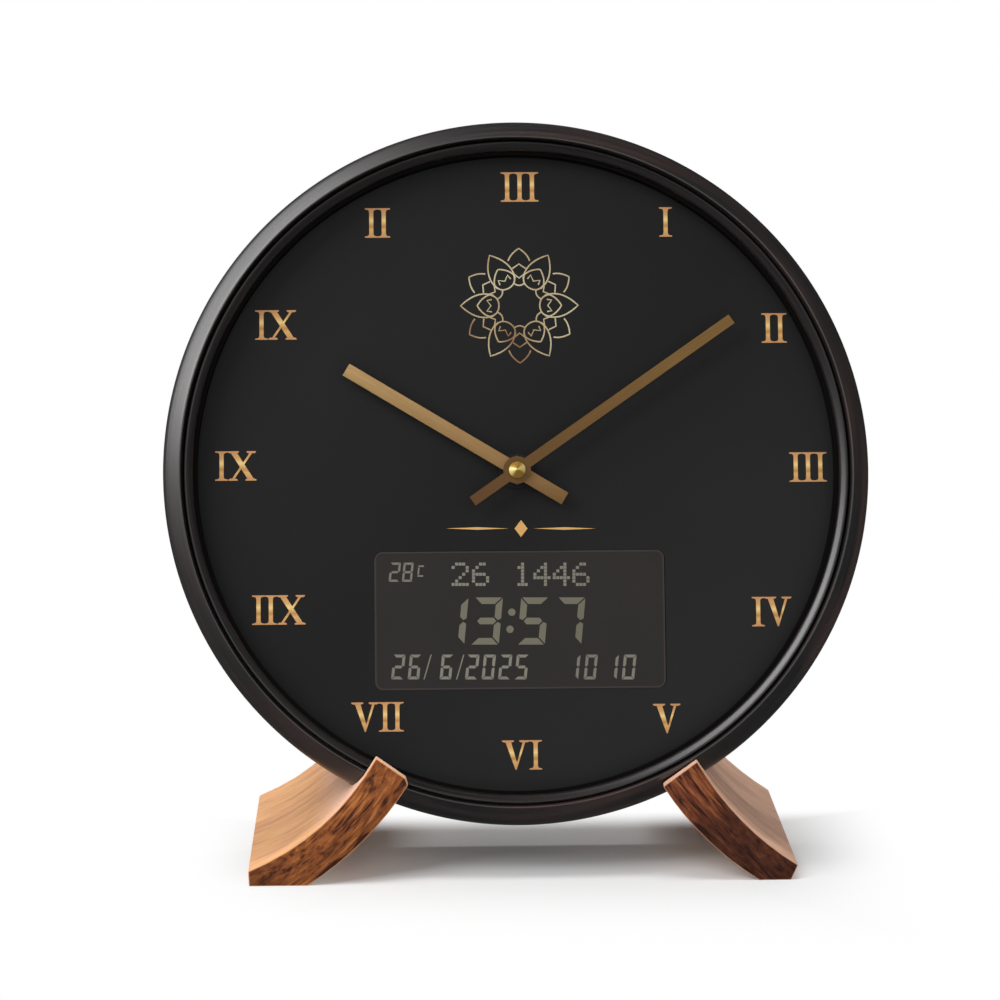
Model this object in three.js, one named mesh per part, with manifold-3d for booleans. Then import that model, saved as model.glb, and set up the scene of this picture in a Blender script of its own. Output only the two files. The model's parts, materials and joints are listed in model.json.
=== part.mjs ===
// A round clock in a dark turned frame, leaning back in two slotted wooden feet.
// Millimetres, +Z up. The clock is laid out upright about the axis of its hands: +X to the right,
// +Z up and +Y to the rear, with depth 0 at the crest of the frame. It then leans back as a whole.
import * as THREE from 'three';
import { mergeVertices } from 'three/addons/utils/BufferGeometryUtils.js';
import Module from 'manifold-3d';

const wasm = await Module();
wasm.setup();

// Fits shared by every piece
const gap = 0.3;
const overrun = 1;
const bigRound = 64;
const middleRound = 20;
const smallRound = 10;
const cornerSteps = 3;

// How the clock stands: its lean, and how far it would clear the table if it stood upright
const leanDegrees = 18;
const tableClearance = 11.3;

// Turned frame: a round front, a bore that steps out to the rear, and a seat for the rear cover
const frameRadius = 150;
const frameDepth = 40;
const frameShoulder = 9;
const frameCrestInset = 6.8;
const frameFaceWidth = 8.8;
const frameGrooveDepth = 4;
const frameRearChamfer = 1.5;
const frameFlangeReach = 2.8;
const frameFlangeThickness = 2.5;
const frameSeatReach = 6.2;
const frontArcSteps = 4;

// Inner bead, which lies in the bore and shows between the frame and the dial
const beadWidth = 3.8;
const beadRecess = 1.6;
const beadRoll = 2.2;
const beadLipWidth = 1.4;
const beadLipRecess = 6;

// Dial plate and the tinted window of its display
const dialRecess = 12;
const dialThickness = 3;
const dialSeat = 1.9;
const displayCorner = 3.7;
const displayShift = 0.8;
const displaySideMargin = 78.35;
const displayTopMargin = 1.65;
const displayFootMargin = 43.15;

// Display stack behind the window
const cellMargin = 1.5;
const cellThickness = 2.8;
const guideThickness = 2.2;
const holderWall = 2.5;
const boardThickness = 1.6;
const switchSize = 6;
const switchHeight = 3.6;

// Rear cover, let into the back of the frame so that its door stays behind the rim
const coverInset = 4;
const coverThickness = 2.5;
const spacerWall = 2;
const coverWindowMargin = 2;
const coverScrews = 6;
const screwRadius = 1.5;
const screwHeadRadius = 2.8;
const screwHeadHeight = 1.6;
const screwLength = 11;
const keyholeInset = 18.3;
const keyholeHead = 4.5;
const keyholeNeck = 2;
const keyholeLength = 9;

// Push buttons on the back
const buttonCount = 4;
const buttonPitch = 24;
const buttonRadius = 3.2;
const buttonCollar = 4.6;
const buttonCollarThickness = 1.4;
const buttonProud = 1.2;
const buttonTravel = 0.8;

// Loudspeaker behind its slots in the cover
const speakerInset = 58.3;
const speakerRadius = 25;
const speakerRim = 0.9;
const speakerRimWidth = 3.5;
const speakerFloor = 13;
const speakerDepth = 8;
const speakerSkirt = 3;
const speakerWall = 0.8;
const coneSlack = 1;
const magnetRadius = 11;
const magnetThickness = 5;
const grilleSlots = 7;
const grilleSlotHeight = 2.4;
const grillePitch = 6;
const grilleMargin = 4;

// Battery tray for the display, its two cells and its sliding door
const trayShift = 4.15;
const trayHeight = 14;
const trayWall = 1.2;
const aaRadius = 7.1;
const aaLength = 49;
const aaTipRadius = 2.6;
const aaTipLength = 1;
const contactThickness = 0.5;
const contactWidth = 10;
const doorMargin = 2;
const doorThickness = 1.8;
const doorGripHeight = 0.9;
const doorGripWidth = 1.2;
const doorGrips = 5;
const doorGripPitch = 2.6;
const railWidth = 1.6;
const railLip = 1.5;
const railLipThickness = 1.2;

// Quartz movement: a square case in two halves on a threaded bush
const caseSlack = 0.8;
const caseWall = 1.5;
const caseCorner = 3;
const frontHalfDepth = 8;
const backHalfDepth = 7.7;
const bushRadius = 4;
const bushBore = 3.1;
const washerRadius = 7.5;
const washerThickness = 0.6;
const nutAcross = 11;
const nutThickness = 2;
const movementCellClearance = 0.4;

// Gear train: tooth counts, centre distances and the depth at which each wheel runs
const wheelThickness = 0.9;
const wheelStep = 1.6;
const tipShare = 0.12;
const rootShare = 0.6;
const motionDistance = 11.2;
const trainDistance = 11.2;
const cannonTeeth = 12;
const minuteWheelTeeth = 36;
const minutePinionTeeth = 10;
const hourWheelTeeth = 40;
const centreTeeth = 60;
const thirdPinionTeeth = 8;
const thirdTeeth = 64;
const fourthPinionTeeth = 8;
const fourthTeeth = 60;
const fourthRadius = 8;
const motionDegrees = 70;
const trainDegrees = 45;
const knobDegrees = 165;
const arborRadius = 1;
const pinRadius = 0.6;
const minuteArborRadius = 1.3;
const hourTubeRadius = 2.6;
const hourTubeBore = 1.7;
const knobRadius = 5.5;
const knobThickness = 3;
const knobRibs = 18;
const knobRibDepth = 0.5;

// Step motor
const rotorAcross = 10.5;
const rotorRadius = 3;
const rotorThickness = 2.4;
const statorWidth = 12;
const statorThickness = 0.8;
const coilAcross = 20.5;
const coilRadius = 3.4;
const coilLength = 17;
const coreWidth = 2;
const motorDrop = 1;

// Hands and the cap on the minute arbor
const handThickness = 0.6;
const handStep = 1.5;
const minuteMargin = 23;
const minuteTail = 23.2;
const minuteWidth = 4.5;
const minuteBoss = 5.9;
const minuteDegrees = 55.2;
const hourShortfall = 28.2;
const hourTail = 23.7;
const hourWidth = 5.8;
const hourBoss = 5.2;
const hourDegrees = 301.1;
const capRadius = 3.5;
const capHeight = 3;
const capTopRadius = 1.1;
const capRim = 0.7;
const capBoreDepth = 1.6;

// Leads inside the case
const leadRadius = 0.7;
const leadSides = 8;
const leadSteps = 18;
const leadSlack = 2.5;

// Feet: each is a bent slab, sawn to the same lean as the clock, with a slot for the frame.
// The two are cut by hand and differ. A tip or a nose has its angle from straight below the hands'
// axis and its reach inwards over the frame. A heel or a toe has its splay beyond them.
const footDepth = 96;
const lipThickness = 3;
const footArcSteps = 8;
const noseBevelShare = 0.33;
const leftTipDegrees = 28.5;
const leftTipReach = 23.1;
const leftNoseDegrees = 21.6;
const leftNoseReach = 21.3;
const leftNoseBevel = 2.8;
const leftToeSplay = 41.8;
const leftHeelSplay = 53.4;
const leftHeelHeight = 5.9;
const leftHeelBevel = 0.4;
const leftOuterSag = 5.8;
const leftInnerSag = 3.1;
const rightTipDegrees = 32.8;
const rightTipReach = 14.1;
const rightNoseDegrees = 25.7;
const rightNoseReach = 12.9;
const rightNoseBevel = 0.8;
const rightToeSplay = 39.4;
const rightHeelSplay = 41.5;
const rightHeelHeight = 5.8;
const rightHeelBevel = 3;
const rightOuterSag = 3.7;
const rightInnerSag = 3.1;

// Places worked out from the sizes above
const lean = THREE.MathUtils.degToRad(leanDegrees);
const axisHeight = frameRadius + tableClearance;
const boreRadius = frameRadius - frameFaceWidth;
const flangeRadius = boreRadius - frameFlangeReach;
const pocketRadius = flangeRadius + dialSeat;
const seatRadius = pocketRadius + frameSeatReach;
const coverBack = frameDepth - coverInset;
const coverInside = coverBack - coverThickness;
const seatDepth = coverInside - gap;
const dialBack = dialRecess + dialThickness;
const stackFront = dialBack + gap;
const cellBack = stackFront + cellThickness;
const guideBack = cellBack + gap + guideThickness;
const holderBack = guideBack + gap;
const boardFront = holderBack + gap;
const boardBack = boardFront + boardThickness;
const caseSize = aaLength + aaTipLength + 2 * (contactThickness + 2 * gap + caseWall) + caseSlack;
const movementCellDrop = caseSize / 2 - caseWall - aaRadius - movementCellClearance;
const coverWindow = caseSize + 2 * coverWindowMargin;
const displayWidth = 2 * (pocketRadius - displaySideMargin);
const cellWidth = displayWidth + 2 * cellMargin;
const holderWidth = cellWidth + 2 * (gap + holderWall);
const holderHeight = pocketRadius - displayFootMargin - displayTopMargin - caseSize / 2;
const cellHeight = holderHeight - 2 * (gap + holderWall);
const displayHeight = cellHeight - 2 * cellMargin;
const displayDrop = caseSize / 2 + displayTopMargin + holderHeight / 2;
const speakerHeight = pocketRadius - speakerInset;
const keyholeHeight = pocketRadius - keyholeInset;
const trayAcross = (pocketRadius + caseSize / 2) / 2 - trayShift;
const beadInner = boreRadius - gap - beadWidth;
const minuteLength = beadInner - beadLipWidth - minuteMargin;
const hourLength = minuteLength - hourShortfall;
const caseMiddle = stackFront + frontHalfDepth;
const caseBack = caseMiddle + gap + backHalfDepth;
const gearFront = stackFront + caseWall + gap;
const gearBack = caseBack - caseWall - gap;
const washerBack = dialRecess - gap;
const nutBack = washerBack - washerThickness - gap;
const nutFront = nutBack - nutThickness;
const handFront = nutFront - gap - handThickness;

// Geometry helpers

// The geometry without doubled vertices and flat triangles, facing outwards.
function weld(geometry) {
  const bare = geometry.index ? geometry.toNonIndexed() : geometry.clone();
  bare.deleteAttribute('normal');
  bare.deleteAttribute('uv');
  const merged = mergeVertices(bare);
  const corners = merged.index.array;
  const kept = [];
  for (let i = 0; i < corners.length; i += 3) {
    const [a, b, c] = [corners[i], corners[i + 1], corners[i + 2]];
    if (a !== b && b !== c && c !== a) kept.push(a, b, c);
  }
  const points = merged.attributes.position.array;
  return { points, triangles: volumeOf(points, kept) < 0 ? kept.reverse() : kept };
}

function volumeOf(points, triangles) {
  const [a, b, c] = [new THREE.Vector3(), new THREE.Vector3(), new THREE.Vector3()];
  let volume = 0;
  for (let i = 0; i < triangles.length; i += 3) {
    a.fromArray(points, 3 * triangles[i]);
    b.fromArray(points, 3 * triangles[i + 1]);
    c.fromArray(points, 3 * triangles[i + 2]);
    volume += a.dot(b.cross(c));
  }
  return volume;
}

function toSolid(geometry) {
  const { points, triangles } = weld(geometry);
  const vertProperties = Float32Array.from(points);
  const triVerts = Uint32Array.from(triangles);
  return new wasm.Manifold(new wasm.Mesh({ numProp: 3, vertProperties, triVerts }));
}

function toGeometry(solid) {
  const mesh = solid.getMesh();
  const geometry = new THREE.BufferGeometry();
  const positions = new Float32Array(mesh.vertProperties);
  geometry.setAttribute('position', new THREE.BufferAttribute(positions, mesh.numProp));
  geometry.setIndex(Array.from(mesh.triVerts));
  return geometry;
}

function cut(geometry, tools) {
  return toGeometry(tools.reduce((body, tool) => body.subtract(toSolid(tool)), toSolid(geometry)));
}

function join(geometries) {
  const [first, ...others] = geometries.map(toSolid);
  return toGeometry(others.reduce((body, other) => body.add(other), first));
}

// A body turned about the hands' axis, from points of (radius, depth).
function turned(points, segments = bigRound) {
  return new THREE.LatheGeometry(points.map(([r, y]) => new THREE.Vector2(r, y)), segments);
}

function closed(points) {
  return [...points, points[0]];
}

// A turned body with a bore through it.
function sleeve(outer, inner, front, back, segments = smallRound) {
  return turned(closed([[outer, front], [outer, back], [inner, back], [inner, front]]), segments);
}

function rod(radius, front, back, segments = smallRound) {
  return turned([[0, front], [radius, front], [radius, back], [0, back]], segments);
}

// A flat outline of (across, height), given depth from front to back.
function sheet(outline, front, back) {
  const options = { depth: back - front, bevelEnabled: false, curveSegments: cornerSteps };
  const geometry = new THREE.ExtrudeGeometry(outline, options);
  return geometry.rotateX(Math.PI / 2).translate(0, back, 0);
}

function block(width, height, front, back, across = 0, up = 0) {
  const geometry = new THREE.BoxGeometry(width, back - front, height);
  return geometry.translate(across, (front + back) / 2, up);
}

function circle(radius, sides) {
  const points = [];
  for (let i = 0; i < sides; i += 1) {
    const angle = (2 * Math.PI * i) / sides;
    points.push(new THREE.Vector2(radius * Math.cos(angle), radius * Math.sin(angle)));
  }
  return new THREE.Shape(points);
}

function roundedBox(width, height, corner, across = 0, up = 0) {
  const [x, z] = [width / 2 - corner, height / 2 - corner];
  const shape = new THREE.Shape();
  shape.absarc(across + x, up + z, corner, 0, Math.PI / 2);
  shape.absarc(across - x, up + z, corner, Math.PI / 2, Math.PI);
  shape.absarc(across - x, up - z, corner, Math.PI, 1.5 * Math.PI);
  shape.absarc(across + x, up - z, corner, 1.5 * Math.PI, 2 * Math.PI);
  return shape;
}

// Points of a quarter of an ellipse about (centreRadius, centreDepth), from angle start to end.
function roundOver(centreRadius, centreDepth, reach, rise, start, end) {
  const points = [];
  for (let i = 0; i <= frontArcSteps; i += 1) {
    const angle = start + (end - start) * (i / frontArcSteps);
    points.push([centreRadius + reach * Math.cos(angle), centreDepth - rise * Math.sin(angle)]);
  }
  return points;
}

// Points of a shallow arc from a to b, bowed by sag to the left of the way from a to b.
function bowed(a, b, sag) {
  const along = new THREE.Vector2().subVectors(b, a);
  const side = new THREE.Vector2(-along.y, along.x).normalize();
  const points = [];
  for (let i = 0; i <= footArcSteps; i += 1) {
    const t = i / footArcSteps;
    const bow = sag * (1 - (2 * t - 1) ** 2);
    points.push(a.clone().addScaledVector(along, t).addScaledVector(side, bow));
  }
  return points;
}

// Materials
function finish(color, roughness, metalness = 0) {
  return new THREE.MeshStandardMaterial({ color, roughness, metalness });
}

const darkWood = finish(0x241a17, 0.42);
const footWood = finish(0x8a5630, 0.5);
const dialBlack = finish(0x232323, 0.6);
const windowTint = finish(0x39342f, 0.25);
const handGold = finish(0xb58a4e, 0.35, 0.9);
const brass = finish(0xc9a14a, 0.28, 1);
const steel = finish(0xb4b6b8, 0.35, 1);
const darkPlastic = finish(0x1c1c1e, 0.55);
const greyPlastic = finish(0x6f7175, 0.5);
const palePlastic = finish(0xd9d9d2, 0.45);
const boardGreen = finish(0x1f5b3a, 0.5);
const cellWrap = finish(0x3c6a9e, 0.4);
const rubber = finish(0x2a2a2a, 0.8);
const paper = finish(0x3a3633, 0.9);
const copper = finish(0xb06a3c, 0.35, 1);

const stand = new THREE.Group();
const clock = new THREE.Group();

function add(group, name, geometry, material) {
  const mesh = new THREE.Mesh(toGeometry(toSolid(geometry)), material);
  mesh.name = name;
  mesh.geometry.computeVertexNormals();
  group.add(mesh);
  return mesh;
}

// Frame and bead

// The round front of the frame, from its full radius over the crest; clear widens it all round.
function frontRound(clear) {
  const crest = frameRadius - frameCrestInset;
  return roundOver(crest, frameShoulder, frameCrestInset + clear, frameShoulder + clear, 0, Math.PI / 2);
}

function frameProfile() {
  const crest = frameRadius - frameCrestInset;
  const innerReach = frameFaceWidth - frameCrestInset;
  const inner = roundOver(crest, frameGrooveDepth, innerReach, frameGrooveDepth, Math.PI / 2, Math.PI);
  const flangeBack = dialRecess - gap;
  return [
    ...frontRound(0),
    ...inner.slice(1),
    [boreRadius, flangeBack - frameFlangeThickness],
    [flangeRadius, flangeBack - frameFlangeThickness],
    [flangeRadius, flangeBack],
    [pocketRadius, flangeBack],
    [pocketRadius, seatDepth],
    [seatRadius, seatDepth],
    [seatRadius, frameDepth],
    [frameRadius - frameRearChamfer, frameDepth],
    [frameRadius, frameDepth - frameRearChamfer],
  ];
}

function screwPlaces() {
  const radius = (pocketRadius + seatRadius) / 2;
  const places = [];
  for (let i = 0; i < coverScrews; i += 1) {
    const angle = (2 * Math.PI * i) / coverScrews;
    places.push([radius * Math.sin(angle), radius * Math.cos(angle)]);
  }
  return places;
}

function addFrame() {
  const bottom = seatDepth - screwLength;
  const holes = screwPlaces().map(([x, z]) => (
    rod(screwRadius + gap, bottom, seatDepth + overrun).translate(x, 0, z)
  ));
  add(clock, 'frame_ring', cut(turned(closed(frameProfile())), holes), darkWood);
}

function addBead() {
  const outer = boreRadius - gap;
  const rollMiddle = outer - beadWidth / 2;
  const roll = roundOver(rollMiddle, beadRecess + beadRoll, beadWidth / 2, beadRoll, 0, Math.PI);
  const back = dialRecess - gap;
  const flangeFront = back - frameFlangeThickness - gap;
  const points = [
    ...roll,
    [beadInner, beadLipRecess],
    [beadInner - beadLipWidth, beadLipRecess],
    [beadInner - beadLipWidth, back],
    [beadInner, back],
    [beadInner, flangeFront],
    [outer, flangeFront],
  ];
  add(clock, 'inner_bead', turned(closed(points)), darkWood);
}

// Dial and display

function addDial() {
  const face = circle(pocketRadius - gap, bigRound);
  face.holes.push(circle(bushRadius + gap, middleRound));
  face.holes.push(roundedBox(displayWidth, displayHeight, displayCorner, displayShift, -displayDrop));
  add(clock, 'dial_plate', sheet(face, dialRecess, dialBack), dialBlack);
}

function addDisplay() {
  const [x, z] = [displayShift, -displayDrop];
  const lens = roundedBox(displayWidth - 2 * gap, displayHeight - 2 * gap, displayCorner - gap, x, z);
  add(clock, 'display_lens', sheet(lens, dialRecess, dialBack), windowTint);
  add(clock, 'display_cell', block(cellWidth, cellHeight, stackFront, cellBack, x, z), windowTint);
  add(clock, 'light_guide', block(cellWidth, cellHeight, cellBack + gap, guideBack, x, z), palePlastic);
  const holder = block(holderWidth, holderHeight, stackFront, holderBack, x, z);
  const room = block(
    cellWidth + 2 * gap,
    cellHeight + 2 * gap,
    stackFront - overrun,
    holderBack + overrun,
    x,
    z,
  );
  add(clock, 'display_holder', cut(holder, [room]), palePlastic);
}

function buttonPlaces() {
  const places = [];
  for (let i = 0; i < buttonCount; i += 1) {
    places.push([displayShift + (i - (buttonCount - 1) / 2) * buttonPitch, -displayDrop]);
  }
  return places;
}

function addBoard() {
  const board = block(holderWidth, holderHeight, boardFront, boardBack, displayShift, -displayDrop);
  const switches = buttonPlaces().map(([x, z]) => (
    block(switchSize, switchSize, boardFront, boardBack + switchHeight, x, z)
  ));
  add(clock, 'main_board', join([board, ...switches]), boardGreen);
}

// Rear cover

// The slots of the loudspeaker, each as long as its chord of the grille allows.
function grille() {
  const reach = speakerRadius - grilleMargin;
  const slots = [];
  for (let i = 0; i < grilleSlots; i += 1) {
    const up = (i - (grilleSlots - 1) / 2) * grillePitch;
    const length = 2 * Math.sqrt(reach ** 2 - up ** 2);
    const [front, back] = [coverInside - overrun, coverBack + overrun];
    slots.push(block(length, grilleSlotHeight, front, back, 0, speakerHeight + up));
  }
  return slots;
}

function keyhole() {
  const [front, back] = [coverInside - overrun, coverBack + overrun];
  const head = rod(keyholeHead, front, back).translate(0, 0, keyholeHeight - keyholeLength);
  const neck = block(2 * keyholeNeck, keyholeLength, front, back, 0, keyholeHeight - keyholeLength / 2);
  const top = rod(keyholeNeck, front, back).translate(0, 0, keyholeHeight);
  return [head, neck, top];
}

const trayInnerLength = aaLength + aaTipLength + 2 * (contactThickness + 2 * gap);
const trayInnerHeight = 2 * (2 * aaRadius) + 3 * gap;
const trayOuterLength = trayInnerLength + 2 * trayWall;
const trayOuterHeight = trayInnerHeight + 2 * trayWall;
const doorWidth = trayOuterLength + 2 * doorMargin;
const doorHeight = trayOuterHeight + 2 * doorMargin;
const doorFront = coverBack + gap;
const doorBack = doorFront + doorThickness;

// Two L-shaped rails hold the sliding door, with a stop below it.
function doorRails() {
  const pieces = [];
  const lipFront = doorBack + gap;
  const lipBack = lipFront + railLipThickness;
  const root = coverBack - coverThickness / 2;
  for (const side of [-1, 1]) {
    const edge = doorWidth / 2 + gap + railWidth / 2;
    const lipWidth = railWidth + gap + railLip;
    const lipAt = edge + railWidth / 2 - lipWidth / 2;
    pieces.push(block(railWidth, doorHeight, root, lipBack, -trayAcross + side * edge, trayHeight));
    pieces.push(block(lipWidth, doorHeight, lipFront, lipBack, -trayAcross + side * lipAt, trayHeight));
  }
  const stopDrop = doorHeight / 2 + gap + railWidth / 2;
  pieces.push(block(doorWidth, railWidth, root, doorBack, -trayAcross, trayHeight - stopDrop));
  return pieces;
}

// A countersunk hole through the cover, clear of its screw all round.
function screwHole() {
  return turned([
    [0, coverBack + overrun],
    [screwHeadRadius + gap, coverBack + overrun],
    [screwHeadRadius + gap, coverBack],
    [screwRadius + gap, coverBack - screwHeadHeight],
    [screwRadius + gap, coverInside - overrun],
    [0, coverInside - overrun],
  ], smallRound);
}

function addCover() {
  const plate = rod(seatRadius - gap, coverInside, coverBack, bigRound);
  const [front, back] = [coverInside - overrun, coverBack + overrun];
  const openings = [
    block(coverWindow, coverWindow, front, back),
    block(trayInnerLength, trayInnerHeight, front, back, -trayAcross, trayHeight),
    ...grille(),
    ...keyhole(),
  ];
  for (const [x, z] of buttonPlaces()) {
    openings.push(rod(buttonRadius + gap, front, back).translate(x, 0, z));
  }
  for (const [x, z] of screwPlaces()) {
    openings.push(screwHole().translate(x, 0, z));
  }
  add(clock, 'rear_cover', cut(join([plate, ...doorRails()]), openings), darkPlastic);
}

// A plain ring that the cover presses against the back of the dial.
function addSpacer() {
  const outer = pocketRadius - gap;
  const ring = sleeve(outer, outer - spacerWall, stackFront, coverInside - gap, bigRound);
  add(clock, 'dial_spacer', ring, darkPlastic);
}

function addScrews() {
  const tip = seatDepth - screwLength + gap;
  screwPlaces().forEach(([x, z], i) => {
    const screw = turned([
      [0, coverBack],
      [screwHeadRadius, coverBack],
      [screwRadius, coverBack - screwHeadHeight],
      [screwRadius, tip + screwRadius],
      [0, tip],
    ], smallRound);
    add(clock, `cover_screw_${i + 1}`, screw.translate(x, 0, z), steel);
  });
}

function addButtons() {
  const tip = coverBack + buttonProud;
  const collarBack = coverInside - gap;
  const collarFront = collarBack - buttonCollarThickness;
  const foot = boardBack + switchHeight + gap + buttonTravel;
  buttonPlaces().forEach(([x, z], i) => {
    const button = turned([
      [0, foot],
      [buttonRadius, foot],
      [buttonRadius, collarFront],
      [buttonCollar, collarFront],
      [buttonCollar, collarBack],
      [buttonRadius, collarBack],
      [buttonRadius, tip - gap],
      [buttonRadius - gap, tip],
      [0, tip],
    ], smallRound);
    add(clock, `set_button_${i + 1}`, button.translate(x, 0, z), greyPlastic);
  });
}

// Loudspeaker

function addSpeaker() {
  const seat = coverInside - gap;
  const rimFront = seat - speakerRim;
  const floor = rimFront - speakerDepth;
  const lip = speakerRadius - speakerRimWidth;
  const basket = turned(closed([
    [speakerRadius, seat],
    [speakerRadius, rimFront],
    [lip + speakerWall, rimFront],
    [lip + speakerWall, rimFront - speakerSkirt],
    [speakerFloor + speakerWall, floor],
    [magnetRadius / 2, floor],
    [magnetRadius / 2, floor + speakerWall],
    [speakerFloor, floor + speakerWall],
    [lip, rimFront - speakerSkirt + speakerWall],
    [lip, seat],
  ]), middleRound);
  const coneEdge = lip - gap;
  const coneFront = floor + speakerWall + coneSlack;
  const cone = turned([
    [0, coneFront],
    [magnetRadius / 2, coneFront],
    [coneEdge, rimFront - speakerWall],
    [coneEdge, rimFront],
    [magnetRadius / 2, coneFront + speakerWall],
    [0, coneFront + speakerWall],
  ], middleRound);
  const magnet = rod(magnetRadius, floor - gap - magnetThickness, floor - gap, middleRound);
  add(clock, 'speaker_basket', basket.translate(0, 0, speakerHeight), steel);
  add(clock, 'speaker_cone', cone.translate(0, 0, speakerHeight), paper);
  add(clock, 'speaker_magnet', magnet.translate(0, 0, speakerHeight), steel);
}

// Battery tray, cells and door

// An AA cell lying along X with its tip to the right, about its own middle.
function aaCell() {
  const half = aaLength / 2;
  const cell = turned([
    [0, -half],
    [aaRadius, -half],
    [aaRadius, half],
    [aaTipRadius, half],
    [aaTipRadius, half + aaTipLength],
    [0, half + aaTipLength],
  ], smallRound);
  return cell.rotateZ(-Math.PI / 2).translate(-aaTipLength / 2, 0, 0);
}

function addTray() {
  const back = coverInside - gap;
  const cellDepth = back - aaRadius;
  const floorBack = cellDepth - aaRadius - gap;
  const shell = block(trayOuterLength, trayOuterHeight, floorBack - trayWall, back);
  const room = block(trayInnerLength, trayInnerHeight, floorBack, back + overrun);
  add(clock, 'battery_tray', cut(shell, [room]).translate(-trayAcross, 0, trayHeight), darkPlastic);
  const rise = aaRadius + gap / 2;
  const upper = aaCell().translate(-trayAcross, cellDepth, trayHeight + rise);
  const lower = aaCell().rotateY(Math.PI).translate(-trayAcross, cellDepth, trayHeight - rise);
  add(clock, 'tray_battery_1', upper, cellWrap);
  add(clock, 'tray_battery_2', lower, cellWrap);
  const reach = trayInnerLength / 2 - gap - contactThickness / 2;
  const tall = trayInnerHeight - 2 * gap;
  const [front, rear] = [floorBack + gap, floorBack + gap + contactWidth];
  const [left, right] = [-trayAcross - reach, -trayAcross + reach];
  add(clock, 'tray_contact_left', block(contactThickness, tall, front, rear, left, trayHeight), steel);
  add(clock, 'tray_contact_right', block(contactThickness, tall, front, rear, right, trayHeight), steel);
}

function addDoor() {
  const door = block(doorWidth, doorHeight, doorFront, doorBack, -trayAcross, trayHeight);
  const grips = [];
  for (let i = 0; i < doorGrips; i += 1) {
    const up = trayHeight + doorHeight / 2 - (i + 1) * doorGripPitch;
    const width = doorWidth / 2;
    const back = doorBack + doorGripHeight;
    grips.push(block(width, doorGripWidth, doorBack - doorThickness / 2, back, -trayAcross, up));
  }
  add(clock, 'battery_door', join([door, ...grips]), darkPlastic);
}

// Quartz movement

function caseHalf(front, back, openFront) {
  const outer = sheet(roundedBox(caseSize, caseSize, caseCorner), front, back);
  const inside = caseSize - 2 * caseWall;
  const roomFront = openFront ? front - overrun : front + caseWall;
  const roomBack = openFront ? back - caseWall : back + overrun;
  return cut(outer, [block(inside, inside, roomFront, roomBack)]);
}

function addMovementCase() {
  const front = caseHalf(stackFront, caseMiddle, false);
  const bush = rod(bushRadius, nutFront, stackFront + caseWall / 2, middleRound);
  const bore = rod(bushBore, nutFront - overrun, stackFront + caseWall + overrun, middleRound);
  add(clock, 'movement_front', cut(join([front, bush]), [bore]), darkPlastic);
  const cellRoom = block(
    aaLength + aaTipLength + 2 * (contactThickness + 2 * gap),
    2 * (aaRadius + gap),
    caseBack - caseWall - overrun,
    caseBack + overrun,
    0,
    -movementCellDrop,
  );
  const [x, z] = knobPlace;
  const shaft = rod(arborRadius + gap, caseBack - caseWall - overrun, caseBack + overrun);
  const openings = [cellRoom, shaft.translate(x, 0, z)];
  const rear = cut(caseHalf(caseMiddle + gap, caseBack, true), openings);
  add(clock, 'movement_back', rear, darkPlastic);
}

function addMovementCell() {
  const depth = stackFront + caseWall + gap + aaRadius;
  add(clock, 'movement_battery', aaCell().translate(0, depth, -movementCellDrop), cellWrap);
  const reach = (aaLength + aaTipLength) / 2 + gap + contactThickness / 2;
  const [front, back] = [gearFront, gearFront + contactWidth];
  for (const [name, side] of [['left', -1], ['right', 1]]) {
    const plate = block(contactThickness, contactWidth, front, back, side * reach, -movementCellDrop);
    add(clock, `movement_contact_${name}`, plate, steel);
  }
}

function addBushFixings() {
  const washerFront = washerBack - washerThickness;
  const washer = sleeve(washerRadius, bushRadius + gap, washerFront, washerBack, middleRound);
  add(clock, 'bush_washer', washer, rubber);
  const flats = rod(nutAcross / Math.sqrt(3), nutFront, nutBack, 6);
  const bore = rod(bushRadius + gap, nutFront - overrun, nutBack + overrun, middleRound);
  add(clock, 'bush_nut', cut(flats, [bore]), brass);
}

// Gears

// A toothed outline with a tooth pointing along the angle phase, measured from +Z towards +X.
function toothed(teeth, pitchRadius, phase) {
  const pitch = (2 * Math.PI * pitchRadius) / teeth;
  const tip = pitchRadius + tipShare * pitch;
  const root = pitchRadius - rootShare * pitch;
  const points = [];
  for (let i = 0; i < 2 * teeth; i += 1) {
    const angle = phase + (Math.PI * i) / teeth;
    const radius = i % 2 ? root : tip;
    points.push(new THREE.Vector2(radius * Math.sin(angle), radius * Math.cos(angle)));
  }
  return new THREE.Shape(points);
}

function gear(teeth, pitchRadius, phase, level) {
  return sheet(toothed(teeth, pitchRadius, phase), levelFront(level), levelFront(level) + wheelThickness);
}

function levelFront(level) {
  return gearFront + level * wheelStep;
}

function pitchOf(teeth, mate, distance) {
  return (distance * teeth) / (teeth + mate);
}

function place(distance, degrees, from = [0, 0]) {
  const angle = THREE.MathUtils.degToRad(degrees);
  return [from[0] + distance * Math.sin(angle), from[1] + distance * Math.cos(angle)];
}

const motionAngle = THREE.MathUtils.degToRad(-motionDegrees);
const trainAngle = THREE.MathUtils.degToRad(trainDegrees);
const motionPlace = place(motionDistance, -motionDegrees);
const trainPlace = place(trainDistance, trainDegrees);
const knobPlace = place(motionDistance, -motionDegrees + knobDegrees + 180, motionPlace);

// Hour wheel and its tube, which carries the hour hand.
function addHourWheel() {
  const pitch = pitchOf(hourWheelTeeth, minutePinionTeeth, motionDistance);
  const wheel = gear(hourWheelTeeth, pitch, motionAngle + Math.PI / hourWheelTeeth, 0);
  const tubeFront = handFront - gap;
  const tube = rod(hourTubeRadius, tubeFront, levelFront(0) + wheelThickness);
  const bore = rod(hourTubeBore, tubeFront - overrun, levelFront(1));
  add(clock, 'hour_wheel', cut(join([wheel, tube]), [bore]), brass);
}

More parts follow.
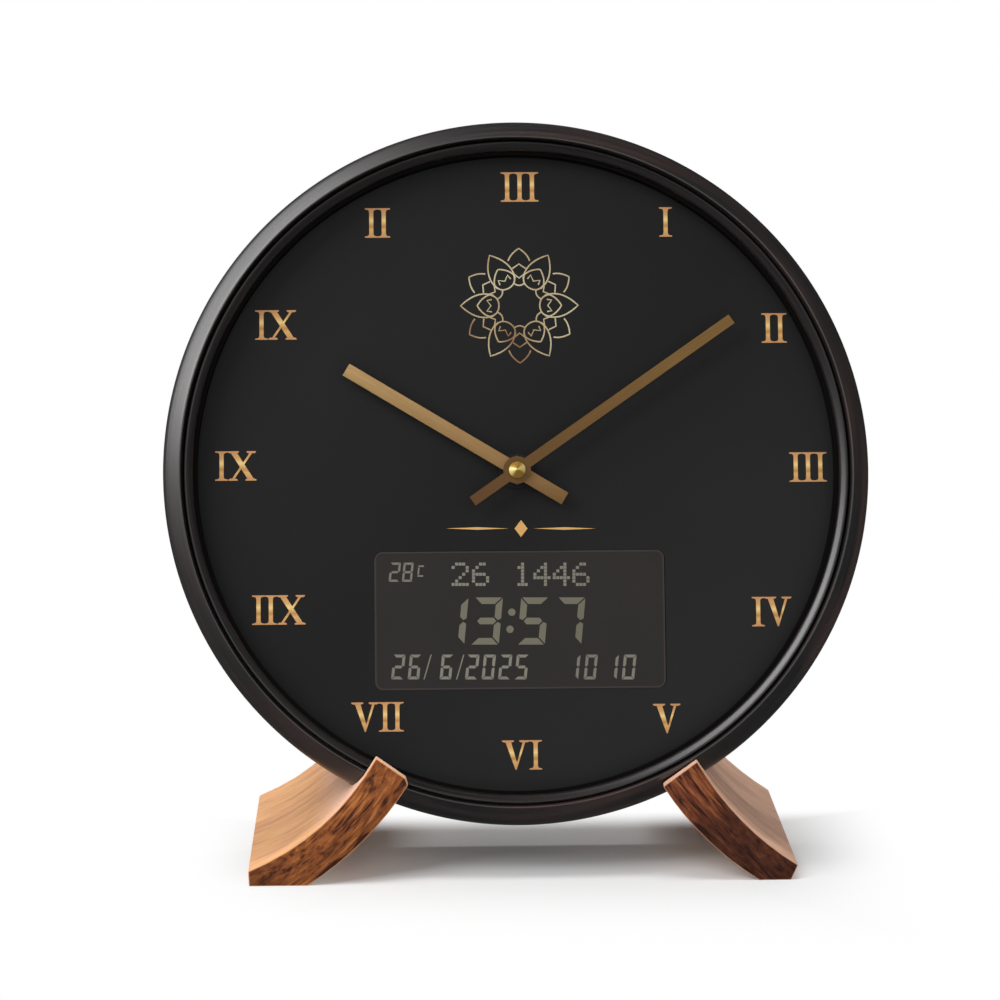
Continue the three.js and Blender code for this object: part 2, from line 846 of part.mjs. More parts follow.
// Minute wheel of the motion work: the wheel follows the cannon pinion, its pinion drives the hours.
function addMinuteWheel() {
  const wheelPitch = pitchOf(minuteWheelTeeth, cannonTeeth, motionDistance);
  const pinionPitch = pitchOf(minutePinionTeeth, hourWheelTeeth, motionDistance);
  const back = motionAngle + Math.PI;
  const wheel = gear(minuteWheelTeeth, wheelPitch, back + Math.PI / minuteWheelTeeth, 1);
  const pinion = sheet(toothed(minutePinionTeeth, pinionPitch, back), levelFront(0), levelFront(1) + gap);
  const arbor = rod(pinRadius, gearFront, gearBack);
  const [x, z] = motionPlace;
  add(clock, 'minute_wheel', join([wheel, pinion, arbor]).translate(x, 0, z), brass);
}

// Centre wheel with the cannon pinion and the long arbor that carries the minute hand.
function addCentreWheel() {
  const cannonPitch = pitchOf(cannonTeeth, minuteWheelTeeth, motionDistance);
  const wheelPitch = pitchOf(centreTeeth, thirdPinionTeeth, trainDistance);
  const cannon = sheet(toothed(cannonTeeth, cannonPitch, motionAngle), levelFront(1), levelFront(2) + gap);
  const wheel = gear(centreTeeth, wheelPitch, trainAngle, 2);
  const arborFront = minuteFront - capBoreDepth;
  const arbor = rod(minuteArborRadius, arborFront, levelFront(2) + wheelThickness + gap);
  add(clock, 'centre_wheel', join([cannon, wheel, arbor]), brass);
}

function addThirdWheel() {
  const pinionPitch = pitchOf(thirdPinionTeeth, centreTeeth, trainDistance);
  const wheelPitch = pitchOf(thirdTeeth, fourthPinionTeeth, trainDistance);
  const back = trainAngle + Math.PI;
  const leaves = toothed(thirdPinionTeeth, pinionPitch, back + Math.PI / thirdPinionTeeth);
  const pinion = sheet(leaves, levelFront(2), levelFront(3) + gap);
  const wheel = gear(thirdTeeth, wheelPitch, back, 3);
  const arbor = rod(pinRadius, gearFront, gearBack);
  const [x, z] = trainPlace;
  add(clock, 'third_wheel', join([pinion, wheel, arbor]).translate(x, 0, z), brass);
}

function addFourthWheel() {
  const pitch = pitchOf(fourthPinionTeeth, thirdTeeth, trainDistance);
  const phase = trainAngle + Math.PI / fourthPinionTeeth;
  const pinion = sheet(toothed(fourthPinionTeeth, pitch, phase), levelFront(3), levelFront(4) + gap);
  const wheel = gear(fourthTeeth, fourthRadius, 0, 4);
  const arbor = rod(pinRadius, levelFront(3) - gap, gearBack);
  add(clock, 'fourth_wheel', join([pinion, wheel, arbor]), brass);
}

// Setting knob: its pinion turns the minute wheel, one turn for each turn of the minute hand.
function addKnob() {
  const pitch = pitchOf(cannonTeeth, minuteWheelTeeth, motionDistance);
  const phase = motionAngle + THREE.MathUtils.degToRad(knobDegrees) + Math.PI / cannonTeeth;
  const pinion = gear(cannonTeeth, pitch, phase, 1);
  const knobFront = caseBack + gap;
  const shaft = rod(arborRadius, gearFront, knobFront + knobThickness / 2);
  const ribs = [];
  for (let i = 0; i < 2 * knobRibs; i += 1) {
    const angle = (Math.PI * i) / knobRibs;
    const radius = i % 2 ? knobRadius - knobRibDepth : knobRadius;
    ribs.push(new THREE.Vector2(radius * Math.sin(angle), radius * Math.cos(angle)));
  }
  const knob = sheet(new THREE.Shape(ribs), knobFront, knobFront + knobThickness);
  const [x, z] = knobPlace;
  add(clock, 'setting_knob', join([pinion, shaft, knob]).translate(x, 0, z), palePlastic);
}

// Step motor: a magnet rotor between the cheeks of the stator, with the coil on its core.
function addMotor() {
  const statorFront = levelFront(4) + wheelThickness + gap + statorThickness;
  const rotorMiddle = statorFront + statorThickness / 2;
  const magnet = rod(
    rotorRadius,
    rotorMiddle - rotorThickness / 2,
    rotorMiddle + rotorThickness / 2,
    middleRound,
  );
  const arbor = rod(pinRadius, rotorMiddle - rotorThickness / 2 - gap, gearBack);
  const rotor = join([magnet, arbor]).translate(rotorAcross, 0, -motorDrop);
  add(clock, 'rotor', rotor, steel);
  const statorBack = statorFront + statorThickness;
  const reach = coilAcross - rotorAcross + statorWidth / 2;
  const middle = rotorAcross + reach / 2 - statorWidth / 2;
  const cheek = block(reach, statorWidth, statorFront, statorBack, middle, -motorDrop);
  const coreLength = coilLength + statorWidth;
  const coreRise = coilLength / 2 - motorDrop;
  const core = block(coreWidth, coreLength, statorFront, statorBack, coilAcross, coreRise);
  const hole = rod(rotorRadius + gap, statorFront - overrun, statorBack + overrun, middleRound);
  const stator = cut(join([cheek, core]), [hole.translate(rotorAcross, 0, -motorDrop)]);
  add(clock, 'stator', stator, steel);
  const coilFoot = statorWidth / 2 - motorDrop + gap;
  const coil = turned(closed([
    [coilRadius, coilFoot],
    [coilRadius, coilFoot + coilLength - 2 * gap],
    [coreWidth / 2 + 2 * gap, coilFoot + coilLength - 2 * gap],
    [coreWidth / 2 + 2 * gap, coilFoot],
  ]), smallRound);
  coil.rotateX(Math.PI / 2).translate(coilAcross, statorFront + statorThickness / 2, 0);
  add(clock, 'coil', coil, copper);
}

// Hands

const minuteFront = handFront - handStep;

// A flat bar with square ends and a bored boss, made pointing up and turned to its hour.
function hand(size, front) {
  const back = front + handThickness;
  const bar = block(size.width, size.length + size.tail, front, back, 0, (size.length - size.tail) / 2);
  const blank = join([bar, rod(size.boss, front, back, middleRound)]);
  const hole = rod(size.bore, front - overrun, back + overrun, middleRound);
  return cut(blank, [hole]).rotateY(THREE.MathUtils.degToRad(size.degrees));
}

const hourSize = {
  length: hourLength,
  tail: hourTail,
  width: hourWidth,
  boss: hourBoss,
  bore: hourTubeRadius + gap,
  degrees: hourDegrees,
};

const minuteSize = {
  length: minuteLength,
  tail: minuteTail,
  width: minuteWidth,
  boss: minuteBoss,
  bore: minuteArborRadius + gap,
  degrees: minuteDegrees,
};

function addHands() {
  add(clock, 'hour_hand', hand(hourSize, handFront), handGold);
  add(clock, 'minute_hand', hand(minuteSize, minuteFront), handGold);
}

// The cap closes over the end of the minute arbor.
function addCap() {
  const back = minuteFront - gap;
  const front = back - capHeight;
  const bore = minuteArborRadius + gap;
  const floor = minuteFront - capBoreDepth - gap;
  const cap = turned([
    [0, front],
    [capTopRadius, front],
    [capRadius, back - capRim],
    [capRadius, back],
    [bore, back],
    [bore, floor],
    [0, floor],
  ], middleRound);
  add(clock, 'hand_cap', cap, brass);
}

// Leads

function lead(points) {
  const path = new THREE.CatmullRomCurve3(points.map(([x, y, z]) => new THREE.Vector3(x, y, z)));
  const section = [];
  for (let i = 0; i < leadSides; i += 1) {
    const angle = (2 * Math.PI * i) / leadSides;
    section.push(new THREE.Vector2(leadRadius * Math.cos(angle), leadRadius * Math.sin(angle)));
  }
  const options = { steps: leadSteps, extrudePath: path, bevelEnabled: false };
  return new THREE.ExtrudeGeometry(new THREE.Shape(section), options);
}

function addLeads() {
  const behindBoard = boardBack + gap + leadRadius;
  const edge = displayShift + holderWidth / 2;
  const boardTop = -displayDrop + holderHeight / 2;
  const besideCase = caseSize / 2 + leadSlack + leadRadius;
  const fromSpeaker = [magnetRadius + gap + leadRadius, behindBoard, speakerHeight - magnetRadius];
  add(clock, 'speaker_lead', lead([
    fromSpeaker,
    [besideCase, behindBoard, speakerHeight / 2],
    [besideCase + leadSlack, behindBoard, 0],
    [edge / 2, behindBoard, boardTop - leadSlack],
  ]), rubber);
  const trayFoot = trayHeight - trayOuterHeight / 2 - gap;
  add(clock, 'battery_lead', lead([
    [-trayAcross, behindBoard, trayFoot - leadRadius],
    [-trayAcross + leadSlack, behindBoard, trayFoot / 2 + boardTop / 2],
    [-edge / 2 - leadSlack, behindBoard, boardTop - leadSlack],
  ]), rubber);
}

// Feet

const point = (x, z) => new THREE.Vector2(x, z);

// A place on the frame, by its angle from straight below the axis and its reach inwards.
function onFrame(degrees, reach) {
  const angle = THREE.MathUtils.degToRad(degrees);
  const radius = frameRadius - reach;
  return point(radius * Math.sin(angle), axisHeight - radius * Math.cos(angle));
}

// One foot's outline, as it would be on the right: tip, heel, toe and nose, joined by two bows.
function footOutline(size) {
  const tip = onFrame(size.tipDegrees, size.tipReach);
  const noseEdge = onFrame(size.noseDegrees, size.noseReach);
  const heel = point(tip.x + size.heelSplay, size.heelHeight);
  const heelFoot = point(heel.x - size.heelBevel, 0);
  const toe = point(noseEdge.x + size.toeSplay, 0);
  const nose = point(noseEdge.x, noseEdge.y - size.noseBevel);
  const noseTop = point(noseEdge.x + noseBevelShare * size.noseBevel, noseEdge.y);
  return [
    ...bowed(heel, tip, size.outerSag),
    noseTop,
    ...bowed(nose, toe, -size.innerSag),
    heelFoot,
  ];
}

const leftFoot = {
  side: -1,
  tipDegrees: leftTipDegrees,
  tipReach: leftTipReach,
  noseDegrees: leftNoseDegrees,
  noseReach: leftNoseReach,
  noseBevel: leftNoseBevel,
  toeSplay: leftToeSplay,
  heelSplay: leftHeelSplay,
  heelHeight: leftHeelHeight,
  heelBevel: leftHeelBevel,
  outerSag: leftOuterSag,
  innerSag: leftInnerSag,
};

const rightFoot = {
  side: 1,
  tipDegrees: rightTipDegrees,
  tipReach: rightTipReach,
  noseDegrees: rightNoseDegrees,
  noseReach: rightNoseReach,
  noseBevel: rightNoseBevel,
  toeSplay: rightToeSplay,
  heelSplay: rightHeelSplay,
  heelHeight: rightHeelHeight,
  heelBevel: rightHeelBevel,
  outerSag: rightOuterSag,
  innerSag: rightInnerSag,
};

// The room that the frame needs in a foot: its own section with a clearance, open to the middle.
function frameRoom() {
  const crest = frameRadius - frameCrestInset;
  const back = frameDepth + gap;
  const points = [[0, back], [frameRadius + gap, back], ...frontRound(gap), [crest, -gap], [0, -gap]];
  return turned(points).applyMatrix4(clock.matrix);
}

function addFoot(name, size) {
  const outline = footOutline(size).map((p) => point(size.side * p.x, p.y));
  const slab = sheet(new THREE.Shape(outline), 0, footDepth);
  const shear = new THREE.Matrix4().makeShear(0, 0, 0, 0, 0, Math.tan(lean));
  const leaning = slab.applyMatrix4(shear);
  add(stand, name, cut(leaning, [frameRoom()]), footWood);
}

// The clock leans back in the slots, so that the crest of its frame lies against the front lips.
function leanClock() {
  const behindFace = (frameShoulder + gap + lipThickness) / Math.cos(lean);
  const setback = axisHeight * Math.tan(lean) + behindFace;
  clock.rotation.x = -lean;
  const shoulder = new THREE.Vector3(0, frameShoulder, 0).applyEuler(clock.rotation);
  clock.position.set(0, setback, axisHeight).sub(shoulder);
  clock.updateMatrix();
}

leanClock();
addFrame();
addBead();
addDial();
addDisplay();
addBoard();
addCover();
addSpacer();
addScrews();
addButtons();
addSpeaker();
addTray();
addDoor();
addMovementCase();
addMovementCell();
addBushFixings();
addHourWheel();
addMinuteWheel();
addCentreWheel();
addThirdWheel();
addFourthWheel();
addKnob();
addMotor();
addHands();
addCap();
addLeads();
addFoot('left_foot', leftFoot);
addFoot('right_foot', rightFoot);
stand.add(clock);

// The origin is on the table, at the middle of the object's box.
stand.updateMatrixWorld(true);
const box = new THREE.Box3().setFromObject(stand, true);
const middle = box.getCenter(new THREE.Vector3());
stand.position.set(-middle.x, -middle.y, -box.min.z);

export default stand;
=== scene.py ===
# %% [markdown]
# A round clock stands in two slotted wooden feet and leans back by eighteen degrees.
# Its frame is a turned ring of dark wood, its dial a matte black plate with gold Roman numerals, a gold
# rosette and a tinted display window.
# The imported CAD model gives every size, place and joint, so this lesson starts by loading it as a fixed
# frame.
# Everything below only dresses that frame: smoother pieces stand for the coarse solids, and every
# surface gets a finish made of nodes.

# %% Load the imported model
import json
import math

import bmesh
import bpy
from mathutils import Matrix, Vector


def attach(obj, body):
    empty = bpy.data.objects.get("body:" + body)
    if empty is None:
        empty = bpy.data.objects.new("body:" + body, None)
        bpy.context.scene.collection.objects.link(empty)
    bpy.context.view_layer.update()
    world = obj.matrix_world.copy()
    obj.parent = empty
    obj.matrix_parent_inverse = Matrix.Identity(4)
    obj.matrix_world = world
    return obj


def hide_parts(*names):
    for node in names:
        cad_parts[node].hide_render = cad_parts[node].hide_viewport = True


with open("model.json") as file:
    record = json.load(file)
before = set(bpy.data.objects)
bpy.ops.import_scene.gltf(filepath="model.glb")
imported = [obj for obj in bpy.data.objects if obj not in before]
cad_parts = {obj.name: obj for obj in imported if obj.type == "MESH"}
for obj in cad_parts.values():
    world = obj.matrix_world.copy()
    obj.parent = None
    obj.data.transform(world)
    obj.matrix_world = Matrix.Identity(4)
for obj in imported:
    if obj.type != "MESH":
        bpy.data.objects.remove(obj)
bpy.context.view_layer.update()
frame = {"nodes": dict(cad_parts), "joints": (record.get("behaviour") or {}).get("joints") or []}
scene = bpy.context.scene

# %% [markdown]
# The clock leans, so most of its pieces are easier to draw in the clock's own frame: millimetres, x to
# the right, y from the crest of the frame towards the back, z up along the dial.
# The arbor of the hands is a joint of the model. Its place and its axis give that frame without any
# fitting.

# %% The clock's own frame
mm = 0.001
arbor_depth = 20

hand_joint = next(joint for joint in frame["joints"] if joint["name"] == "minute_turn")
arbor = Vector(hand_joint["pos_m"])
lean = -math.asin(hand_joint["axis"][2])
clock_turn = Matrix.Rotation(-lean, 4, "X")
clock_place = Matrix.Translation(arbor) @ clock_turn @ Matrix.Translation((0, -arbor_depth * mm, 0))
clock_mm = clock_place @ Matrix.Scale(mm, 4)
table_mm = Matrix.Scale(mm, 4)
print("lean", round(math.degrees(lean), 2), "dial centre", clock_place.translation)

# %% [markdown]
# The picture was taken a little from above with a long lens. The camera looks down by thirteen degrees
# and stands two degrees off the middle.
# The ring's middle falls on a known pixel, so the camera is slid sideways and down until it does. No
# lens shift is needed.
# The same numbers, read backwards, tell where a pixel of the picture meets the dial.

# %% Camera
picture_size = 1000
picture_middle = picture_size / 2
camera_azimuth = math.radians(-2)
camera_elevation = math.radians(13)
camera_distance = 1.18
ring_depth = 9
ring_middle = clock_mm @ Vector((0, ring_depth, 0))
ring_pixel_x = 516.9
ring_pixel_y = 470.5
metres_per_pixel = 0.00042561
focal_pixels = camera_distance / metres_per_pixel
sensor_width = 36

level_view = Vector((-math.sin(camera_azimuth), math.cos(camera_azimuth), 0))
camera_right = Vector((math.cos(camera_azimuth), math.sin(camera_azimuth), 0))
camera_view = level_view * math.cos(camera_elevation) - Vector((0, 0, math.sin(camera_elevation)))
camera_up = level_view * math.sin(camera_elevation) + Vector((0, 0, math.cos(camera_elevation)))
camera_point = (
    ring_middle
    - camera_view * camera_distance
    - camera_right * (ring_pixel_x - picture_middle) * metres_per_pixel
    + camera_up * (ring_pixel_y - picture_middle) * metres_per_pixel
)

camera_data = bpy.data.cameras.new("camera")
camera_data.sensor_width = sensor_width
camera_data.lens = sensor_width * focal_pixels / picture_size
camera = bpy.data.objects.new("camera", camera_data)
scene.collection.objects.link(camera)
camera_axes = Matrix((camera_right, camera_up, -camera_view)).transposed()
camera.matrix_world = Matrix.Translation(camera_point) @ camera_axes.to_4x4()
scene.camera = camera
scene.view_settings.view_transform = "Standard"
print("lens", round(camera_data.lens, 2), "camera", camera_point)

# %% Where a pixel meets the clock
dial_front = 12
clock_from_room = clock_mm.inverted()
foot_front = min(vert.co.y for vert in frame["nodes"]["left_foot"].data.vertices)


def ray_through(pixel_x, pixel_y):
    shift = camera_right * (pixel_x - picture_middle) - camera_up * (pixel_y - picture_middle)
    return camera_view + shift / focal_pixels


def on_dial(pixel_x, pixel_y, depth=dial_front):
    """x and z, in the clock's millimetres, where the ray through a pixel reaches that depth."""
    start = clock_from_room @ camera_point
    step = clock_from_room.to_3x3() @ ray_through(pixel_x, pixel_y)
    point = start + step * ((depth - start.y) / step.y)
    return Vector((point.x, point.z))


def on_foot(pixel_x, pixel_y):
    """The point of the room, in metres, where the ray through a pixel meets the front faces of the feet."""
    ray = ray_through(pixel_x, pixel_y)
    return camera_point + ray * ((foot_front - camera_point.y) / ray.y)


print("dial middle", on_dial(ring_pixel_x, ring_pixel_y), "feet start at", round(foot_front, 4))

# %% [markdown]
# Nodes are easier to read when a line of code makes one node and wires it up.
# These small helpers do that: add_node makes a node and fills its sockets with numbers or with links,
# and the others are short forms for the kinds that come back all the time.
# Colours are written as a picture shows them, 0 to 255, and turned into light values.

# %% Helpers for nodes
def paint(red, green, blue):
    """A colour as a picture shows it, as the value that a shader wants."""
    shares = [channel / 255 for channel in (red, green, blue)]
    return tuple(s / 12.92 if s <= 0.04045 else ((s + 0.055) / 1.055) ** 2.4 for s in shares) + (1.0,)


def add_node(tree, kind, inputs=None, **settings):
    made = tree.nodes.new(kind)
    for name, value in settings.items():
        setattr(made, name, value)
    for name, value in (inputs or {}).items():
        if isinstance(value, bpy.types.NodeSocket):
            tree.links.new(value, made.inputs[name])
        else:
            made.inputs[name].default_value = value
    return made


def sums(tree, operation, first, second=0.0):
    return add_node(tree, "ShaderNodeMath", {0: first, 1: second}, operation=operation).outputs[0]


def vector_sums(tree, operation, first, second=(0.0, 0.0, 0.0)):
    return add_node(tree, "ShaderNodeVectorMath", {0: first, 1: second}, operation=operation).outputs[0]


def split(tree, vector):
    return add_node(tree, "ShaderNodeSeparateXYZ", {0: vector}).outputs


def join(tree, **parts):
    return add_node(tree, "ShaderNodeCombineXYZ", parts).outputs[0]


def spread(tree, value, low, high, new_low=0.0, new_high=1.0):
    """The value between low and high, stretched to the new limits and stopped there."""
    inputs = {"Value": value, "From Min": low, "From Max": high, "To Min": new_low, "To Max": new_high}
    return add_node(tree, "ShaderNodeMapRange", inputs).outputs["Result"]


def blend_colours(tree, share, first, second):
    made = add_node(tree, "ShaderNodeMix", {0: share, 6: first, 7: second}, data_type="RGBA")
    return made.outputs[2]


def colour_steps(tree, value, *steps):
    made = add_node(tree, "ShaderNodeValToRGB", {"Fac": value})
    ramp = made.color_ramp
    while len(ramp.elements) < len(steps):
        ramp.elements.new(0.5)
    for element, (place, colour) in zip(ramp.elements, steps):
        element.position = place
        element.color = colour
    return made.outputs["Color"]


def noise(tree, vector, scale, detail=2.0, roughness=0.5):
    inputs = {"Vector": vector, "Scale": scale, "Detail": detail, "Roughness": roughness}
    return add_node(tree, "ShaderNodeTexNoise", inputs).outputs["Fac"]


def stretched(tree, vector, factors):
    return vector_sums(tree, "MULTIPLY", vector, factors)


def place_in(tree, place=None):
    """Object coordinates, seen from the frame that the matrix describes."""
    vector = add_node(tree, "ShaderNodeTexCoord").outputs["Object"]
    if place is None:
        return vector
    inputs = {"Vector": vector, "Location": place.translation, "Rotation": place.to_euler()}
    return add_node(tree, "ShaderNodeMapping", inputs, vector_type="TEXTURE").outputs["Vector"]


def attribute(tree, name):
    return add_node(tree, "ShaderNodeAttribute", attribute_name=name).outputs["Fac"]


print("node helpers ready")

# %% [markdown]
# A finish is a material with one Principled shader. Plain values go straight on the shader's sockets,
# and wire links the colour, the roughness and the relief that the nodes worked out.
# An effect is a node group that many finishes share.

# %% Helpers for finishes
def new_finish(name, **plain):
    """A material, its node tree and its shader. The plain values go on the shader's own sockets."""
    material = bpy.data.materials.new(name)
    material.use_nodes = True
    tree = material.node_tree
    shader = tree.nodes["Principled BSDF"]
    for socket, value in plain.items():
        shader.inputs[socket.replace("_", " ")].default_value = value
    return material, tree, shader


def wire(tree, shader, colour=None, roughness=None, height=None, bump_distance=0.0001, strength=0.5):
    """Links what a finish worked out to its shader, with the height through a bump."""
    if colour is not None:
        tree.links.new(colour, shader.inputs["Base Color"])
    if roughness is not None:
        tree.links.new(roughness, shader.inputs["Roughness"])
    if height is not None:
        inputs = {"Height": height, "Distance": bump_distance, "Strength": strength}
        bump = add_node(tree, "ShaderNodeBump", inputs)
        tree.links.new(bump.outputs["Normal"], shader.inputs["Normal"])


def new_effect(name, inputs, outputs):
    """A node group with named sockets. Inputs come with a starting value."""
    tree = bpy.data.node_groups.new(name, "ShaderNodeTree")
    for label, value in inputs.items():
        kind = "NodeSocketVector" if isinstance(value, tuple) else "NodeSocketFloat"
        tree.interface.new_socket(label, in_out="INPUT", socket_type=kind).default_value = value
    for label in outputs:
        tree.interface.new_socket(label, in_out="OUTPUT", socket_type="NodeSocketFloat")
    return tree, tree.nodes.new("NodeGroupInput").outputs, tree.nodes.new("NodeGroupOutput").inputs


def use_effect(tree, effect, **inputs):
    made = tree.nodes.new("ShaderNodeGroup")
    made.node_tree = effect
    for label, value in inputs.items():
        if isinstance(value, bpy.types.NodeSocket):
            tree.links.new(value, made.inputs[label])
        else:
            made.inputs[label].default_value = value
    return made.outputs


print("finish helpers ready")

# %% [markdown]
# The clock was shot on a white table in a soft studio. The floor is a pale plane that keeps the real
# soft shadow under and in front of the clock. It goes over to plain white beside it, behind it and
# further out, as a lit sweep does. Polished faces see it dim, as if black card lay before them.
# The lamps are large and few: one softbox at the upper left that draws the long highlight on the ring,
# one overhead panel that presses the shadow to the floor, and weak panels in front and at the right.
# The overhead panel stays out of reflections, as a flag keeps its glare off polished wood in a studio.
# Only the camera sees the world as white. The world lights the clock with much less, and polished faces
# see it darker still, because the real studio was dark beyond its lamps: that is why the rims of the
# ring stay dark.

# %% Floor
floor_half = 7
floor_behind = (-0.008, 0.018)
floor_beside = (0.080, 0.155)
floor_before = (0.075, 0.15)
floor_middle_x = 0.012
far_gleam = 0.08
floor_tone = paint(216, 216, 216)

floor_mesh = bmesh.new()
bmesh.ops.create_grid(floor_mesh, x_segments=1, y_segments=1, size=floor_half)
floor_data = bpy.data.meshes.new("floor")
floor_mesh.to_mesh(floor_data)
floor_mesh.free()
floor = bpy.data.objects.new("floor", floor_data)
scene.collection.objects.link(floor)

floor_finish, tree, shader = new_finish(
    "floor_sweep", Base_Color=floor_tone, Roughness=0.9, Specular_IOR_Level=0.1
)
ground = split(tree, place_in(tree))


def fade(value, limits):
    inputs = {"Value": value, "From Min": limits[0], "From Max": limits[1]}
    return add_node(tree, "ShaderNodeMapRange", inputs, interpolation_type="SMOOTHSTEP").outputs["Result"]


beside = sums(tree, "ABSOLUTE", sums(tree, "SUBTRACT", ground["X"], floor_middle_x))
before = sums(tree, "MULTIPLY", ground["Y"], -1)
away = sums(tree, "MAXIMUM", fade(ground["Y"], floor_behind), fade(beside, floor_beside))
away = sums(tree, "MAXIMUM", away, fade(before, floor_before))
rays = add_node(tree, "ShaderNodeLightPath").outputs
seen = sums(tree, "MAXIMUM", sums(tree, "MULTIPLY", away, rays["Is Camera Ray"]), rays["Is Glossy Ray"])
gleam = spread(tree, rays["Is Camera Ray"], 0, 1, far_gleam, 1)
white = add_node(tree, "ShaderNodeEmission", {"Color": (1, 1, 1, 1), "Strength": gleam})
sweep = add_node(tree, "ShaderNodeMixShader", {0: seen})
tree.links.new(shader.outputs[0], sweep.inputs[1])
tree.links.new(white.outputs[0], sweep.inputs[2])
tree.links.new(sweep.outputs[0], tree.nodes["Material Output"].inputs["Surface"])
floor_data.materials.append(floor_finish)
print("floor", floor_half * 2, "m wide")

# %% World
world_light = 0.32
mirror_light = 0.06
world = bpy.data.worlds.new("studio")
scene.world = world
world.use_nodes = True
tree = world.node_tree
rays = add_node(tree, "ShaderNodeLightPath").outputs
mirrors = sums(tree, "MAXIMUM", rays["Is Glossy Ray"], rays["Is Transmission Ray"])
dimmed = spread(tree, mirrors, 0, 1, world_light, mirror_light)
level = sums(tree, "MAXIMUM", rays["Is Camera Ray"], dimmed)
tree.links.new(level, tree.nodes["Background"].inputs["Strength"])
tree.nodes["Background"].inputs["Color"].default_value = (1, 1, 1, 1)
print("world", world_light)


# %% Lamps
def softbox(name, towards, distance, width, height, radiance, glare=True):
    """A panel at that distance from the ring's middle, which looks back at it."""
    lamp = bpy.data.lights.new(name, "AREA")
    lamp.shape = "RECTANGLE"
    lamp.size = width
    lamp.size_y = height
    lamp.energy = radiance * math.pi * width * height
    made = bpy.data.objects.new(name, lamp)
    scene.collection.objects.link(made)
    direction = Vector(towards).normalized()
    place = Matrix.Translation(ring_middle + direction * distance)
    made.matrix_world = place @ direction.to_track_quat("Z", "Y").to_matrix().to_4x4()
    made.visible_glossy = glare
    return made


softbox(
    "softbox_left",
    towards=(-0.71, -0.24, 0.67),
    distance=1.15,
    width=0.55,
    height=1.1,
    radiance=5.2,
)
softbox(
    "panel_overhead",
    towards=(-0.06, 0.26, 1.0),
    distance=1.25,
    width=0.8,
    height=0.42,
    radiance=13.5,
    glare=False,
)
softbox(
    "panel_front",
    towards=(0.20, -1.0, 0.55),
    distance=1.6,
    width=1.8,
    height=1.4,
    radiance=0.75,
)
softbox(
    "panel_right",
    towards=(0.90, -0.35, 0.35),
    distance=1.4,
    width=1.0,
    height=1.0,
    radiance=0.7,
    glare=False,
)
print("lamps", [lamp.name for lamp in bpy.data.lights])

# %% [markdown]
# Four effects come back in many finishes, so each is a node group, built once.
# Turned grain runs round an axis, as the lathe leaves it: its noise reads the direction from the axis,
# so that it has no seam, and is stretched along the turn.
# Board grain runs along one axis, with bands for the growth rings, fine fibres and short dark pores.
# Brushed lines and a fine speckle stand for metal that was drawn over an abrasive, and for moulded
# plastic.

# %% Turned grain
streak_share = 0.22
turned_grain, given, found = new_effect(
    "turned_grain",
    {"Vector": (0.0, 0.0, 0.0), "Lines": 900.0, "Round": 2.0},
    ("Grain", "Streak"),
)
parts = split(turned_grain, given["Vector"])
flat = join(turned_grain, X=parts["X"], Z=parts["Z"])
radius = add_node(turned_grain, "ShaderNodeVectorMath", {0: flat}, operation="LENGTH").outputs["Value"]
sides = split(turned_grain, vector_sums(turned_grain, "NORMALIZE", flat))


def round_noise(density, detail, turns):
    spot = join(
        turned_grain,
        X=sums(turned_grain, "MULTIPLY", sides["X"], turns),
        Y=sums(turned_grain, "MULTIPLY", radius, density),
        Z=sums(turned_grain, "MULTIPLY", sides["Z"], turns),
    )
    depth = sums(turned_grain, "MULTIPLY", parts["Y"], density)
    inputs = {"Vector": spot, "W": depth, "Scale": 1.0, "Detail": detail}
    return add_node(turned_grain, "ShaderNodeTexNoise", inputs, noise_dimensions="4D").outputs["Fac"]


fine = round_noise(given["Lines"], 4.0, given["Round"])
broad = round_noise(sums(turned_grain, "MULTIPLY", given["Lines"], streak_share), 2.0, given["Round"])
turned_grain.links.new(fine, found["Grain"])
turned_grain.links.new(broad, found["Streak"])
print("effect", turned_grain.name)

# %% Board grain
board_grain, given, found = new_effect(
    "board_grain",
    {"Vector": (0.0, 0.0, 0.0), "Bands": 210.0, "Shift": 0.0},
    ("Bands", "Fibre", "Pores", "Mottle"),
)
shift = join(board_grain, X=given["Shift"], Y=given["Shift"])
spot = vector_sums(board_grain, "ADD", given["Vector"], shift)
wander = noise(board_grain, stretched(board_grain, spot, (14, 60, 60)), 1.0, 2.0)
across = stretched(board_grain, spot, (0.035, 0.55, 1.0))
inputs = {0: across, "Scale": given["Bands"]}
scaled = add_node(board_grain, "ShaderNodeVectorMath", inputs, operation="SCALE").outputs[0]
bent = vector_sums(board_grain, "ADD", scaled, sums(board_grain, "MULTIPLY", wander, 1.2))
bands = noise(board_grain, bent, 1.0, 2.0, 0.5)
fibre = noise(board_grain, stretched(board_grain, spot, (14, 500, 1250)), 1.0, 2.0)
pores = noise(board_grain, stretched(board_grain, spot, (180, 2200, 2400)), 1.0, 1.0)
mottle = noise(board_grain, stretched(board_grain, spot, (260, 320, 520)), 1.0, 3.0, 0.6)
board_grain.links.new(spread(board_grain, bands, 0.30, 0.70), found["Bands"])
board_grain.links.new(fibre, found["Fibre"])
board_grain.links.new(spread(board_grain, pores, 0.66, 0.74), found["Pores"])
board_grain.links.new(spread(board_grain, mottle, 0.34, 0.68), found["Mottle"])
print("effect", board_grain.name)

